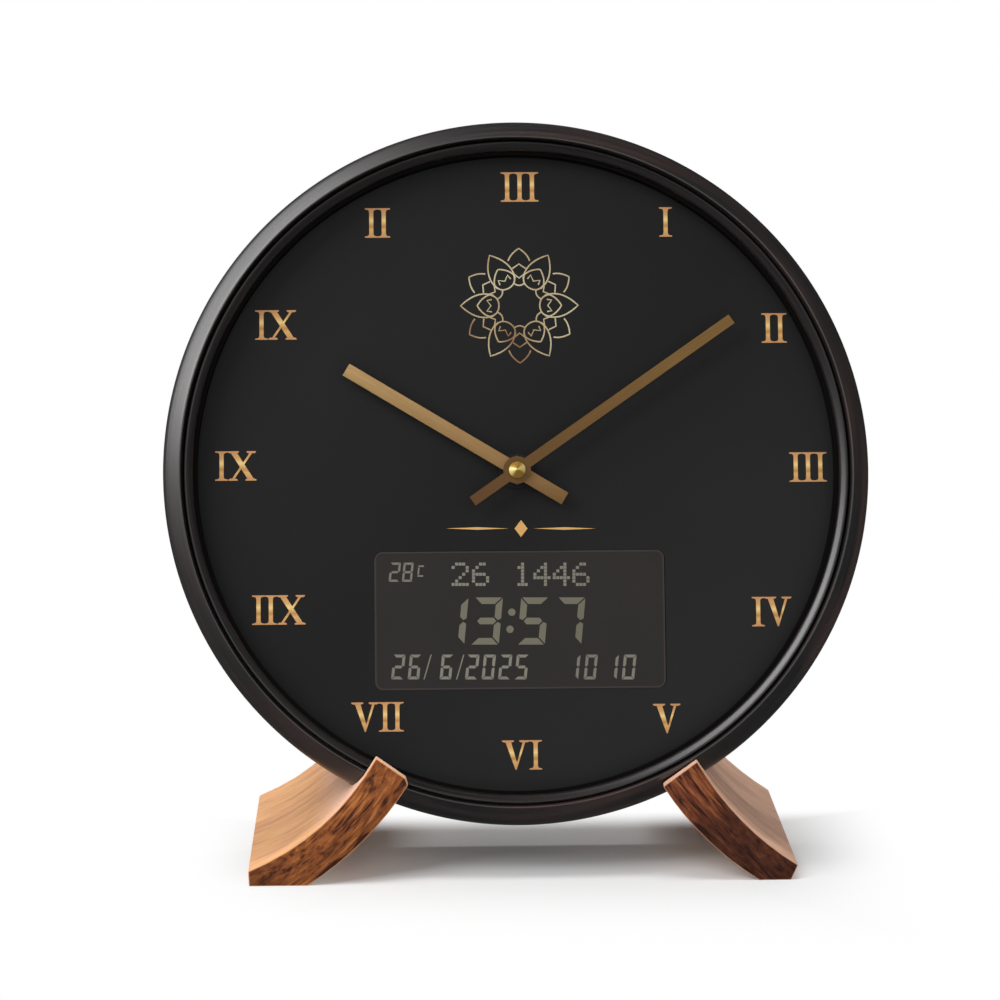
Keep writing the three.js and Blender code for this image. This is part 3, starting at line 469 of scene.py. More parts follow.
# %% Brushed lines and speckle
brushed_lines, given, found = new_effect(
    "brushed_lines",
    {"Vector": (0.0, 0.0, 0.0), "Lines": 2600.0},
    ("Lines", "Cloud"),
)
along = stretched(brushed_lines, given["Vector"], (0.02, 1, 1))
lines = noise(brushed_lines, along, given["Lines"], 3.0, 0.7)
cloud = noise(brushed_lines, given["Vector"], 90.0, 2.0)
brushed_lines.links.new(lines, found["Lines"])
brushed_lines.links.new(cloud, found["Cloud"])

speckle, given, found = new_effect(
    "speckle",
    {"Vector": (0.0, 0.0, 0.0), "Grains": 2200.0},
    ("Height", "Cloud"),
)
speckle.links.new(noise(speckle, given["Vector"], given["Grains"], 2.0, 0.6), found["Height"])
speckle.links.new(noise(speckle, given["Vector"], 26.0, 3.0), found["Cloud"])
print("effects", brushed_lines.name, speckle.name)

# %% [markdown]
# The ring was stained a very dark brown. Turned lines show in it as slightly redder and greyer threads.
# The red threads are painted stronger towards the lower right as painted light: there the light is thin and
# the red shows through.
# The finish reads the turned grain about the dial's axis. Colour, gloss and a faint relief follow the
# same lines, so that the highlight breaks up along them as it does on real open-grained wood.

# %% Finish of the turned frame
frame_finish, tree, shader = new_finish(
    "dark_turned_wood", Specular_IOR_Level=0.95, Coat_Weight=1.0, Coat_Roughness=0.36
)
clock_vector = place_in(tree, clock_place)
grain = use_effect(tree, turned_grain, Vector=clock_vector, Lines=760.0, Round=2.2)
red = spread(tree, grain["Streak"], 0.42, 0.66)
parts = split(tree, clock_vector)
low_right = sums(tree, "SUBTRACT", parts["X"], parts["Z"])
# Painted light: the red threads grow stronger towards the lower right, where the light is thin.
lower_right_light_share = spread(tree, low_right, -0.12, 0.2, 0.25, 1.0)
dark = colour_steps(
    tree,
    grain["Grain"],
    (0.30, paint(13, 10, 10)),
    (0.52, paint(21, 16, 16)),
    (0.74, paint(34, 26, 26)),
)
colour = blend_colours(tree, sums(tree, "MULTIPLY", red, lower_right_light_share), dark, paint(58, 34, 28))
gloss = spread(tree, grain["Grain"], 0.3, 0.75, 0.40, 0.56)
wire(tree, shader, colour, gloss, grain["Grain"], bump_distance=0.00025, strength=0.5)
print("finish", frame_finish.name)

# %% [markdown]
# The feet are sawn from an oily brown hardwood. The front and back faces show dark and orange bands
# along the bar with a mottled middle. The wide outer faces are planed and waxed. Light is painted into
# both: the outer faces are pale peach as painted light and sheen, the sawn faces darker as painted shade.
# Both bars are bent, and the grain follows the bend: the finish reads the angle round the middle of
# that bend and the distance from it. One recipe serves both feet, and the right one is redder, with a
# darker lower end.
# Towards the ring the planed faces take a paler mauve tone, a painted reflection and shade of the ring,
# and the sawn ones darken at the lower end.
# An attribute of the mesh says how much a face is one of the sawn, shaded ones, and another marks the
# softened arrises, which are painted lighter as a highlight.

# %% Finish of the feet
def foot_finish(
    name, bend, bend_radius, shift, sawn_shaded_tones, planed_lit_tones, ring_reflection_tone, arris_highlight_tone, low_end, near
):
    """Bend is the pixel of the bend's middle. Low_end and near are stretches of the way along the bar."""
    material, tree, shader = new_finish(name, Specular_IOR_Level=0.22)
    middle = on_foot(*bend)
    room = split(tree, place_in(tree))
    right = sums(tree, "SUBTRACT", room["X"], middle.x)
    up = sums(tree, "SUBTRACT", room["Z"], middle.z)
    reach = sums(tree, "SQRT", sums(tree, "ADD", sums(tree, "POWER", right, 2), sums(tree, "POWER", up, 2)))
    along = sums(tree, "MULTIPLY", sums(tree, "ARCTAN2", up, right), bend_radius)
    vector = join(tree, X=along, Y=room["Y"], Z=reach)
    grain = use_effect(tree, board_grain, Vector=vector, Bands=430.0, Shift=shift)
    streaks = sums(tree, "ADD", grain["Bands"], spread(tree, grain["Fibre"], 0.34, 0.66, -0.42, 0.36))
    figured = spread(tree, noise(tree, stretched(tree, vector, (30, 60, 60)), 1.0), 0.44, 0.58, 0.0, 0.7)
    tone = add_node(tree, "ShaderNodeMix", {0: figured, 2: streaks, 3: grain["Mottle"]})
    # Sawn faces: darker tones, partly the wood's own and partly painted shade on faces turned from the
    # lamps.
    sawn = colour_steps(
        tree,
        tone.outputs[0],
        (0.08, sawn_shaded_tones[0]),
        (0.40, sawn_shaded_tones[1]),
        (0.70, sawn_shaded_tones[2]),
        (1.0, sawn_shaded_tones[3]),
    )
    sawn = blend_colours(tree, spread(tree, along, *low_end), sawn, sawn_shaded_tones[0])
    # Planed faces: pale tones, partly the wood's own and partly painted light and sheen where they face the
    # lamps.
    planed_lit = colour_steps(
        tree,
        grain["Bands"],
        (0.10, planed_lit_tones[0]),
        (0.45, planed_lit_tones[1]),
        (0.90, planed_lit_tones[2]),
    )
    # Painted reflection and shade of the ring: a paler mauve on the planed faces near it.
    planed_lit = blend_colours(tree, spread(tree, along, *near, 0.0, 0.75), planed_lit, ring_reflection_tone)
    planed_lit = blend_colours(tree, sums(tree, "MULTIPLY", grain["Pores"], 0.35), planed_lit, sawn_shaded_tones[2])
    sawn = blend_colours(tree, sums(tree, "MULTIPLY", grain["Pores"], 0.6), sawn, sawn_shaded_tones[0])
    colour = blend_colours(tree, attribute(tree, "sawn_shaded_share"), planed_lit, sawn)
    # Painted highlight: the softened arrises are coloured lighter.
    softened = sums(tree, "MULTIPLY", attribute(tree, "arris_highlight_share"), 0.6)
    colour = blend_colours(tree, softened, colour, arris_highlight_tone)
    height = sums(tree, "ADD", grain["Fibre"], sums(tree, "MULTIPLY", grain["Pores"], -0.8))
    gloss = spread(tree, grain["Fibre"], 0.3, 0.7, 0.5, 0.66)
    wire(tree, shader, colour, gloss, height, bump_distance=0.0002, strength=0.4)
    return material


left_foot_finish = foot_finish(
    "left_foot_wood",
    bend=(106, 616),
    bend_radius=0.128,
    shift=0.0,
    sawn_shaded_tones=(paint(60, 26, 9), paint(122, 65, 27), paint(144, 82, 37), paint(174, 108, 55)),
    planed_lit_tones=(paint(202, 148, 112), paint(218, 164, 120), paint(230, 176, 126)),
    ring_reflection_tone=paint(232, 188, 166),
    arris_highlight_tone=paint(222, 160, 106),
    low_end=(-0.126, -0.138, 0.0, 0.4),
    near=(-0.112, -0.096),
)
right_foot_finish = foot_finish(
    "right_foot_wood",
    bend=(1242, 371),
    bend_radius=0.285,
    shift=0.37,
    sawn_shaded_tones=(paint(42, 17, 8), paint(100, 46, 22), paint(118, 62, 32), paint(146, 84, 46)),
    planed_lit_tones=(paint(196, 154, 132), paint(208, 166, 142), paint(218, 176, 150)),
    ring_reflection_tone=paint(210, 166, 146),
    arris_highlight_tone=paint(206, 152, 112),
    low_end=(-0.694, -0.680, 0.0, 0.6),
    near=(-0.700, -0.712),
)
print("finishes", left_foot_finish.name, right_foot_finish.name)

# %% [markdown]
# The dial is a plate with a soft matte black coat. Its colour carries painted light: a touch lighter to the
# lower right, as a soft reflection, and at the upper left, against the shadow of the ring.
# The window is a smoked brown tint in the same plane. The gold of the numerals, the rosette and the
# rule is a printed metallic ink, lighter in a band across the middle of each numeral, so its colour
# follows how high a point is on the numeral.

# %% Finishes of the dial
def speckled(name, low, high, grains, gloss, level, cloud=(0.3, 0.7), relief=None):
    """A cloud in the colour and a fine grain in the gloss, and in the relief if there is one."""
    material, tree, shader = new_finish(name, Specular_IOR_Level=level)
    grain = use_effect(tree, speckle, Vector=place_in(tree, clock_place), Grains=grains)
    colour = blend_colours(tree, spread(tree, grain["Cloud"], *cloud), low, high)
    roughness = spread(tree, grain["Height"], 0.3, 0.7, *gloss)
    wire(tree, shader, colour, roughness, grain["Height"] if relief else None, relief)
    return material


dial_finish, tree, shader = new_finish("matte_dial", Specular_IOR_Level=0.06)
grain = use_effect(tree, speckle, Vector=place_in(tree, clock_place), Grains=2600.0)
parts = split(tree, place_in(tree, clock_place))
# Painted light: the dial's colour is lighter at the upper left and the lower right than in the middle.
dial_light_slope = spread(tree, sums(tree, "SUBTRACT", parts["X"], parts["Z"]), -0.16, 0.16)
dial_lit_base = colour_steps(
    tree,
    dial_light_slope,
    (0.0, paint(38, 38, 38)),
    (0.5, paint(34, 34, 34)),
    (1.0, paint(42, 42, 42)),
)
colour = blend_colours(tree, spread(tree, grain["Cloud"], 0.3, 0.7, 0.0, 0.2), dial_lit_base, paint(33, 33, 33))
gloss = spread(tree, grain["Height"], 0.3, 0.7, 0.55, 0.68)
wire(tree, shader, colour, gloss, grain["Height"], bump_distance=0.00003, strength=0.2)

window_finish = speckled(
    "smoked_window", paint(48, 45, 44), paint(45, 43, 42), 1500.0, gloss=(0.34, 0.42), level=0.1
)
rim_finish = speckled(
    "window_rim", paint(63, 56, 52), paint(58, 52, 49), 1500.0, gloss=(0.4, 0.5), level=0.2, cloud=(0, 1)
)

print("dial finishes", dial_finish.name, window_finish.name, rim_finish.name)

# %% Finishes of the print
gold_ink, tree, shader = new_finish("gold_ink", Specular_IOR_Level=0.3)
body = colour_steps(
    tree,
    attribute(tree, "height_share"),
    (0.0, paint(195, 143, 94)),
    (0.14, paint(202, 152, 97)),
    (0.27, paint(215, 167, 99)),
    (0.38, paint(184, 132, 77)),
    (0.48, paint(215, 172, 105)),
    (0.58, paint(235, 205, 135)),
    (0.75, paint(208, 158, 95)),
    (1.0, paint(193, 141, 97)),
)
border = sums(tree, "MULTIPLY", attribute(tree, "edge_share"), 0.6)
colour = blend_colours(tree, border, body, paint(156, 106, 62))
grain = use_effect(tree, speckle, Vector=place_in(tree, clock_place), Grains=1800.0)
gloss = spread(tree, grain["Height"], 0.3, 0.7, 0.42, 0.55)
wire(tree, shader, colour, gloss, grain["Height"], bump_distance=0.00002, strength=0.3)

foil_finish, tree, shader = new_finish("foil_lines", Specular_IOR_Level=0.3)
tone = noise(tree, place_in(tree, clock_place), 42.0, 1.0)
colour = colour_steps(
    tree,
    tone,
    (0.36, paint(138, 101, 72)),
    (0.46, paint(174, 152, 115)),
    (0.60, paint(194, 182, 147)),
)
grain = use_effect(tree, speckle, Vector=place_in(tree, clock_place), Grains=1800.0)
wire(tree, shader, colour=colour, roughness=spread(tree, grain["Height"], 0.3, 0.7, 0.35, 0.5))


def character_finish(name, low, high):
    return speckled(name, low, high, 1600.0, gloss=(0.4, 0.5), level=0.2, cloud=(0.35, 0.65))


large_characters = character_finish("large_characters", paint(102, 99, 84), paint(113, 110, 95))
small_characters = character_finish("small_characters", paint(110, 107, 96), paint(128, 126, 114))
print("print finishes", gold_ink.name, foil_finish.name, large_characters.name, small_characters.name)

# %% [markdown]
# New pieces are drawn as small bmesh shapes and shaped by operators. They are finished the same way
# each time: doubles merged, normals turned out, sharp edges marked by their angle, the place put into
# the mesh, and the piece told which body it rides on and which finish it wears.

# %% Helpers for pieces
sharp_angle = math.radians(32)
coarse_merge = 0.0005
fine_merge = 0.00001


def finish_piece(mesh, name, body, material, place=clock_mm, merge=coarse_merge):
    """Makes an object of a bmesh that was drawn in millimetres, with its place in its mesh."""
    bmesh.ops.remove_doubles(mesh, verts=mesh.verts, dist=merge)
    bmesh.ops.recalc_face_normals(mesh, faces=mesh.faces)
    for face in mesh.faces:
        face.smooth = True
    for edge in mesh.edges:
        edge.smooth = len(edge.link_faces) == 2 and edge.calc_face_angle(0) < sharp_angle
    bmesh.ops.transform(mesh, matrix=place, verts=mesh.verts)
    data = bpy.data.meshes.new(name)
    mesh.to_mesh(data)
    mesh.free()
    data.materials.append(material)
    piece = bpy.data.objects.new(name, data)
    scene.collection.objects.link(piece)
    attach(piece, body)
    return piece


def spun(outline, steps, x=0.0, z=0.0):
    """A closed outline of (radius, depth) points, turned once round an axis along y."""
    mesh = bmesh.new()
    corners = [mesh.verts.new((x + radius, depth, z)) for radius, depth in outline]
    edges = [mesh.edges.new(pair) for pair in zip(corners, corners[1:] + corners[:1])]
    bmesh.ops.spin(
        mesh,
        geom=corners + edges,
        cent=(x, 0, z),
        axis=(0, 1, 0),
        dvec=(0, 0, 0),
        angle=math.tau,
        steps=steps,
        use_merge=True,
        use_duplicate=False,
    )
    return mesh


print("piece helpers ready")

# %% [markdown]
# The frame is one ring on a lathe: a wide front that slopes almost straight from the crest to a round
# shoulder, a narrow groove at its inner side, a bore that steps out to the rear, and a seat for the
# cover.
# The slope is why the softbox lights nearly the whole width of the ring at the upper left and not just
# a line, and the steep side of the groove is why that light ends so suddenly.
# Its section is spun once round the dial's axis, in far more steps than the CAD ring has, so that the
# highlight runs round without corners.

# %% Turned frame
frame_radius = 150
frame_depth = 40
bore_radius = 141.2
flange_radius = 138.4
flange_front = 9.2
flange_back = 11.7
pocket_radius = 140.3
seat_radius = 146.5
seat_depth = 33.2
rear_chamfer = 1.5
lathe_steps = 320

frame_slope = [
    (150, 9), (149.97, 7.4), (149.84, 6.1), (149.5, 5), (148.95, 4.15), (148.2, 3.5), (146.8, 2.58),
    (145.4, 1.68), (144, 0.78), (143.2, 0.28), (142.9, 0.11), (142.65, 0.02), (142.5, 0),
]
groove_side = [
    (142.25, 0.06), (142.05, 0.3), (141.9, 0.8), (141.75, 1.6), (141.2, 4),
]
frame_outline = frame_slope + groove_side + [
    (bore_radius, flange_front),
    (flange_radius, flange_front),
    (flange_radius, flange_back),
    (pocket_radius, flange_back),
    (pocket_radius, seat_depth),
    (seat_radius, seat_depth),
    (seat_radius, frame_depth),
    (frame_radius - rear_chamfer, frame_depth),
    (frame_radius, frame_depth - rear_chamfer),
]
turned_frame = finish_piece(
    spun(frame_outline, lathe_steps), "turned_frame", "clock", frame_finish
)
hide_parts("frame_ring")
print("slope from", frame_slope[0], "to", frame_slope[-1])
print("turned frame", len(turned_frame.data.polygons), "faces")

# %% [markdown]
# Inside the frame lies a slim bead, a moulding that slopes down towards the dial. A bright band of
# light runs along it at the lower right and none at the upper left, so its slope faces inwards, against
# that of the ring.
# It is a spun piece of its own, glossier than the ring. The narrow lip between it and the dial lies in
# shade, and that shade is painted into it as a dull black, so it is a second piece with a dull finish.

# %% Inner bead
bead_outer = 140.9
bead_inner = 137.1
bead_back = 8.9
lip_radius = 135.7
lip_recess = 6
lip_back = 11.7
bead_lines = 900.0

bead_finish, tree, shader = new_finish("dark_bead", Specular_IOR_Level=1.0)
grain = use_effect(tree, turned_grain, Vector=place_in(tree, clock_place), Lines=bead_lines, Round=2.2)
colour = blend_colours(tree, spread(tree, grain["Grain"], 0.3, 0.7), paint(16, 13, 13), paint(36, 30, 30))
gloss = spread(tree, grain["Grain"], 0.3, 0.75, 0.28, 0.4)
wire(tree, shader, colour, gloss, grain["Grain"], bump_distance=0.00015, strength=0.4)

# Painted shade: the lip's near-black colour stands for the shade it lies in.
lip_shade_finish, tree, shader = new_finish("lip_painted_shade", Specular_IOR_Level=0.05)
grain = use_effect(tree, turned_grain, Vector=place_in(tree, clock_place), Lines=bead_lines, Round=2.2)
colour = blend_colours(tree, grain["Grain"], paint(8, 7, 7), paint(20, 18, 18))
wire(tree, shader, colour=colour, roughness=spread(tree, grain["Grain"], 0.3, 0.75, 0.8, 0.9))

bead_outline = [
    (bead_outer, bead_back),
    (140.9, 3.2), (140.84, 2.5), (140.6, 2.06), (140.25, 1.9), (139.9, 2), (139.5, 2.24),
    (138.9, 2.64), (138.3, 3.06), (137.8, 3.46), (137.4, 3.94), (137.16, 4.6), (137.1, 5.4),
    (bead_inner, bead_back),
]
smooth_bead = finish_piece(
    spun(bead_outline, lathe_steps), "dial_bead", "clock", bead_finish
)
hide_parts("inner_bead")
lip_outline = [
    (bead_inner, lip_recess),
    (lip_radius, lip_recess),
    (lip_radius, lip_back),
    (bead_inner, lip_back),
]
dial_lip = finish_piece(spun(lip_outline, lathe_steps), "dial_lip", "clock", lip_shade_finish)
print("bead", len(smooth_bead.data.polygons), "lip", len(dial_lip.data.polygons), "faces")

# %% [markdown]
# The dial plate, its window and the display behind it keep the shapes that the CAD gave them and only
# change their finish. A thin rim of lighter tint lies on the edge of the window, drawn as a rounded
# sheet whose middle is inset and cut away.

# %% Dial, window and rim
def dress(node, material):
    """A CAD node keeps its shape and gets another finish in each of its slots."""
    slots = frame["nodes"][node].material_slots
    for slot in slots:
        slot.material = material
    return len(slots)


print("slots", dress("dial_plate", dial_finish), dress("display_lens", window_finish))

window_width = 123.9
window_height = 59.2
window_corner = 3.7
window_x = 0.8
window_z = -63.4
window_gap = 0.3
corner_steps = 6
rim_width = 0.7
print_lift = 0.06


def rounded_sheet(mesh, x, z, width, height, corner):
    """A rectangle with round corners on the dial, as one face."""
    half_x, half_z = width / 2, height / 2
    signs = ((-1, -1), (1, -1), (1, 1), (-1, 1))
    corners = [mesh.verts.new((x + a * half_x, dial_front, z + b * half_z)) for a, b in signs]
    mesh.faces.new(corners)
    bmesh.ops.bevel(
        mesh,
        geom=corners,
        offset=corner,
        offset_type="OFFSET",
        segments=corner_steps,
        profile=0.5,
        affect="VERTICES",
        material=-1,
    )
    return list(mesh.faces)


def thicken(mesh, faces, lift):
    """Gives flat faces a thin body that reaches lift towards the front."""
    made = bmesh.ops.extrude_face_region(mesh, geom=faces)
    moved = [item for item in made["geom"] if isinstance(item, bmesh.types.BMVert)]
    bmesh.ops.translate(mesh, verts=moved, vec=(0, -lift, 0))
    return moved


rim_mesh = bmesh.new()
rim_faces = rounded_sheet(
    rim_mesh,
    window_x,
    window_z,
    window_width - 2 * window_gap,
    window_height - 2 * window_gap,
    window_corner - window_gap,
)
bmesh.ops.inset_region(
    rim_mesh, faces=rim_faces, thickness=rim_width, use_boundary=True, use_even_offset=True
)
bmesh.ops.delete(rim_mesh, geom=rim_faces, context="FACES")
thicken(rim_mesh, list(rim_mesh.faces), print_lift)
window_rim = finish_piece(rim_mesh, "window_rim", "clock", rim_finish)
print("rim", len(window_rim.data.polygons), "faces")

# %% [markdown]
# The numerals are slender Roman capitals with serifs. Three strokes make them all: an upright I, a V
# and an X.
# Each stroke is an outline in shares of the numeral's height, filled as one face, inset for a darker
# border and thickened a little. Strokes that cross lie at slightly different heights, so no two faces
# fight.
# They follow the picture's own order, in which some hours differ from the usual ones.

# %% Strokes of the numerals
half_stroke = [
    (0.215, 0.0), (0.215, 0.045), (0.13, 0.058), (0.085, 0.085), (0.072, 0.15), (0.072, 0.85),
    (0.085, 0.915), (0.13, 0.942), (0.215, 0.955), (0.215, 1.0),
]
upright_stroke = half_stroke + [(-across, up) for across, up in reversed(half_stroke)]
vee_stroke = [
    (-0.36, 0.97), (-0.02, 0.0), (0.02, 0.0), (0.335, 0.97), (0.245, 0.97), (0.035, 0.25),
    (-0.165, 0.97),
]
heavy_bar = [(-0.40, 0.97), (0.20, 0.03), (0.41, 0.03), (-0.19, 0.97)]
light_bar = [(0.27, 0.97), (-0.37, 0.03), (-0.28, 0.03), (0.36, 0.97)]

serif_slope_share = 0.2


def serif(left, right, foot):
    """A flat serif between two places, at the foot or the head of a stroke."""
    low, high, tip = (0.0, 0.075, 0.045) if foot else (1.0, 0.925, 0.955)
    inner = (right - left) * serif_slope_share
    sole = [(left, low), (right, low), (right, tip)]
    return sole + [(right - inner, high), (left + inner, high), (left, tip)]


numeral_strokes = {
    "I": [upright_stroke],
    "V": [vee_stroke, serif(-0.47, -0.06, False), serif(0.12, 0.46, False)],
    "X": [
        heavy_bar,
        light_bar,
        serif(-0.48, -0.11, False),
        serif(0.15, 0.46, False),
        serif(-0.46, -0.15, True),
        serif(0.11, 0.48, True),
    ],
}
numeral_widths = {"I": 0.415, "V": 0.933, "X": 0.967}
print("strokes", {letter: len(strokes) for letter, strokes in numeral_strokes.items()})

# %% Numerals on the dial
numeral_body = 0.12
numeral_step = 0.012
border_share = 0.014
numerals = (
    ("twelve", "III", 519.5, 187),
    ("one", "I", 665.5, 222),
    ("two", "II", 774, 328),
    ("three", "III", 808, 467),
    ("four", "IV", 772, 611.5),
    ("five", "V", 667, 718.5),
    ("six", "VI", 522, 755),
    ("seven", "VII", 377.5, 717),
    ("eight", "IIX", 279, 610),
    ("nine", "IX", 236, 466),
    ("ten", "IX", 276, 325),
    ("eleven", "II", 377.5, 223),
)
numeral_height_pixels = 29.6


def add_stroke(mesh, outline, centre, height, shift, lift, marks):
    """One stroke as a thin body, with its height and its border kept as attributes."""
    before = set(mesh.verts)
    corners = []
    for across, up in outline:
        spot = (centre.x + (across + shift) * height, dial_front, centre.y + (up - 0.5) * height)
        corners.append(mesh.verts.new(spot))
    face = mesh.faces.new(corners)
    raised = thicken(mesh, [face], lift)
    front = [f for f in raised[0].link_faces if all(v in raised for v in f.verts)]
    bmesh.ops.inset_region(mesh, faces=front, thickness=border_share * height, use_even_offset=True)
    for vert in set(mesh.verts) - before:
        vert[marks[0]] = (vert.co.z - centre.y) / height + 0.5
        vert[marks[1]] = 1.0
    for vert in {corner for face in front for corner in face.verts}:
        vert[marks[1]] = 0.0


for name, letters, pixel_x, pixel_y in numerals:
    centre = on_dial(pixel_x, pixel_y)
    head = on_dial(pixel_x, pixel_y - numeral_height_pixels / 2)
    foot = on_dial(pixel_x, pixel_y + numeral_height_pixels / 2)
    height = head.y - foot.y
    mesh = bmesh.new()
    marks = (mesh.verts.layers.float.new("height_share"), mesh.verts.layers.float.new("edge_share"))
    place = -sum(numeral_widths[letter] for letter in letters) / 2
    count = 0
    for letter in letters:
        for outline in numeral_strokes[letter]:
            middle = place + numeral_widths[letter] / 2
            add_stroke(mesh, outline, centre, height, middle, numeral_body + numeral_step * count, marks)
            count += 1
        place += numeral_widths[letter]
    finish_piece(mesh, f"numeral_{name}", "clock", gold_ink, merge=fine_merge)
print("numerals", len(numerals), "each", round(height, 2), "mm tall")

# %% [markdown]
# Below the twelve sits a rosette of twelve petals, drawn in fine gold lines: six petals in front with a
# leaf and a zigzag inside, and six behind them that show as arches with a small diamond.
# It is a traditional figure, so it comes from a formula. Each line is a curve with a small round
# section, turned into a mesh, flattened to a foil and laid on the dial.

# %% Rosette
rosette_x = 519.4
rosette_y = 305.6
rosette_tip = 58.7
line_width = 0.62
line_height = 0.14
front_lift = 0.05
back_lift = 0.03
pixel_mm = (on_dial(rosette_x + 50, rosette_y) - on_dial(rosette_x - 50, rosette_y)).x / 100
petal_count = 6
petal_degrees = 360 / petal_count
front_angles = [petal_degrees * number for number in range(petal_count)]
back_angles = [degrees + petal_degrees / 2 for degrees in front_angles]


def bent_line(start, pull, end, steps=9):
    """Points of a curve that leaves start towards pull and reaches end from it."""
    points = []
    for step in range(steps + 1):
        t = step / steps
        points.append(Vector(start) * (1 - t) ** 2 + Vector(pull) * 2 * t * (1 - t) + Vector(end) * t * t)
    return points


def mirrored(points):
    return [Vector((point.x, -point.y)) for point in reversed(points)]


petal_side = bent_line((25.5, 10.2), (42, 16.4), (rosette_tip, 0))
leaf_foot = bent_line((20.4, 0), (20.6, 9.6), (30, 10.9))
leaf_side = bent_line((30, 10.9), (37.2, 8.6), (42.2, 0))
arch_side = bent_line((45.2, 10.8), (52.5, 8.4), (57.8, 0))
zigzag = [Vector(point) for point in ((27.6, -6.2), (32.4, -5.4), (28.4, 0), (32.4, 5.4), (27.6, 6.2))]
diamond_top = [Vector(point) for point in ((37.4, -6.6), (42, 0), (37.4, 6.6))]
diamond_foot = [Vector(point) for point in ((33.2, -6.8), (27.8, 0), (33.2, 6.8))]
small_arc = bent_line((22.2, -4.9), (18.6, 0), (22.2, 4.9))
leaf = leaf_foot + leaf_side[1:]
front_lines = [petal_side + mirrored(petal_side)[1:], leaf, mirrored(leaf), zigzag]
back_lines = [arch_side + mirrored(arch_side)[1:], diamond_top, diamond_foot, small_arc]
print("rosette drawn by", len(front_lines), "lines in front and", len(back_lines), "behind")


# %% Rosette laid on the dial
def add_line(curve, points, degrees, centre):
    turn = Matrix.Rotation(math.radians(degrees), 2)
    spline = curve.splines.new("POLY")
    spline.points.add(len(points) - 1)
    for target, point in zip(spline.points, points):
        spot = centre + turn @ point * pixel_mm
        target.co = (spot.x, 0, spot.y, 1)


def lines_to_piece(name, lines, angles, centre, lift):
    """Draws the lines at each angle round the centre, flattens them and lifts them off the dial."""
    curve = bpy.data.curves.new(name, "CURVE")
    curve.dimensions = "3D"
    curve.bevel_depth = line_width / 2
    curve.bevel_resolution = 2
    curve.use_fill_caps = True
    for degrees in angles:
        for points in lines:
            add_line(curve, points, degrees, centre)
    drawn = bpy.data.objects.new(name + "_curve", curve)
    data = bpy.data.meshes.new_from_object(drawn)
    bpy.data.objects.remove(drawn)
    mesh = bmesh.new()
    mesh.from_mesh(data)
    bpy.data.meshes.remove(data)
    flatten = Matrix.Diagonal((1, line_height / line_width, 1, 1))
    bmesh.ops.transform(mesh, matrix=flatten, verts=mesh.verts)
    bmesh.ops.translate(mesh, verts=mesh.verts, vec=(0, dial_front - lift, 0))
    return finish_piece(mesh, name, "clock", foil_finish, merge=fine_merge)


rosette_centre = on_dial(rosette_x, rosette_y)
lines_to_piece("rosette_front", front_lines, front_angles, rosette_centre, front_lift)
lines_to_piece("rosette_back", back_lines, back_angles, rosette_centre, back_lift)
print("rosette lines", len(front_lines) * len(front_angles) + len(back_lines) * len(back_angles))

# %% [markdown]
# Between the hands and the window the dial carries a plain ornament: a slim rule on either side of a
# small lozenge, in the same gold. Each is a thin flat body that tapers to its ends.

# %% Rule with a lozenge
rule_left = 446
rule_right = 596
rule_y = 528.5
lozenge_half_width = 6.5
lozenge_half_height = 8.5
rule_half_height = 1.3
rule_space = 6
rule_tone_share = 0.27


def flat_body(mesh, pixels, lift):
    """A flat outline of pixels, laid on the dial and thickened towards the front."""
    spots = [on_dial(x, y) for x, y in pixels]
    face = mesh.faces.new([mesh.verts.new((spot.x, dial_front, spot.y)) for spot in spots])
    thicken(mesh, [face], lift)


def kite(middle, half_width, half_height):
    """Corners of an upright kite round a middle on the line of the rule, in pixels."""
    return [
        (middle - half_width, rule_y),
        (middle, rule_y - half_height),
        (middle + half_width, rule_y),
        (middle, rule_y + half_height),
    ]


rule_middle = (rule_left + rule_right) / 2
rule_mesh = bmesh.new()
rule_height_mark = rule_mesh.verts.layers.float.new("height_share")
rule_mesh.verts.layers.float.new("edge_share")
for side in (-1, 1):
    near = rule_middle + side * (lozenge_half_width + rule_space)
    far = rule_middle + side * (rule_right - rule_middle)
    flat_body(rule_mesh, kite((near + far) / 2, (near - far) / 2, rule_half_height), numeral_body)
flat_body(rule_mesh, kite(rule_middle, lozenge_half_width, lozenge_half_height), numeral_body)
for vert in rule_mesh.verts:
    vert[rule_height_mark] = rule_tone_share
dial_rule = finish_piece(rule_mesh, "dial_rule", "clock", gold_ink, merge=fine_merge)
print("rule", len(dial_rule.data.polygons), "faces")

# %% [markdown]
# The display shows light figures on a dark ground. The large time, the date below and the temperature
# are made of seven segments each, and the upper row is made of small dots.
# Each segment is a flat outline with blunt ends, slanted like the real ones. The bodies are a few
# hundredths of a millimetre thick and lie just on the window.

# %% Seven segments
digit_segments = {
    "0": "abcdef",
    "1": "bc",
    "2": "abged",
    "3": "abgcd",
    "5": "afgcd",
    "6": "afgecd",
    "7": "abc",
    "8": "abcdefg",
}
figure_lift = 0.05
blunt_share = 0.14
bar_point_share = 0.55
post_point_share = 0.5
post_corner_share = 0.4


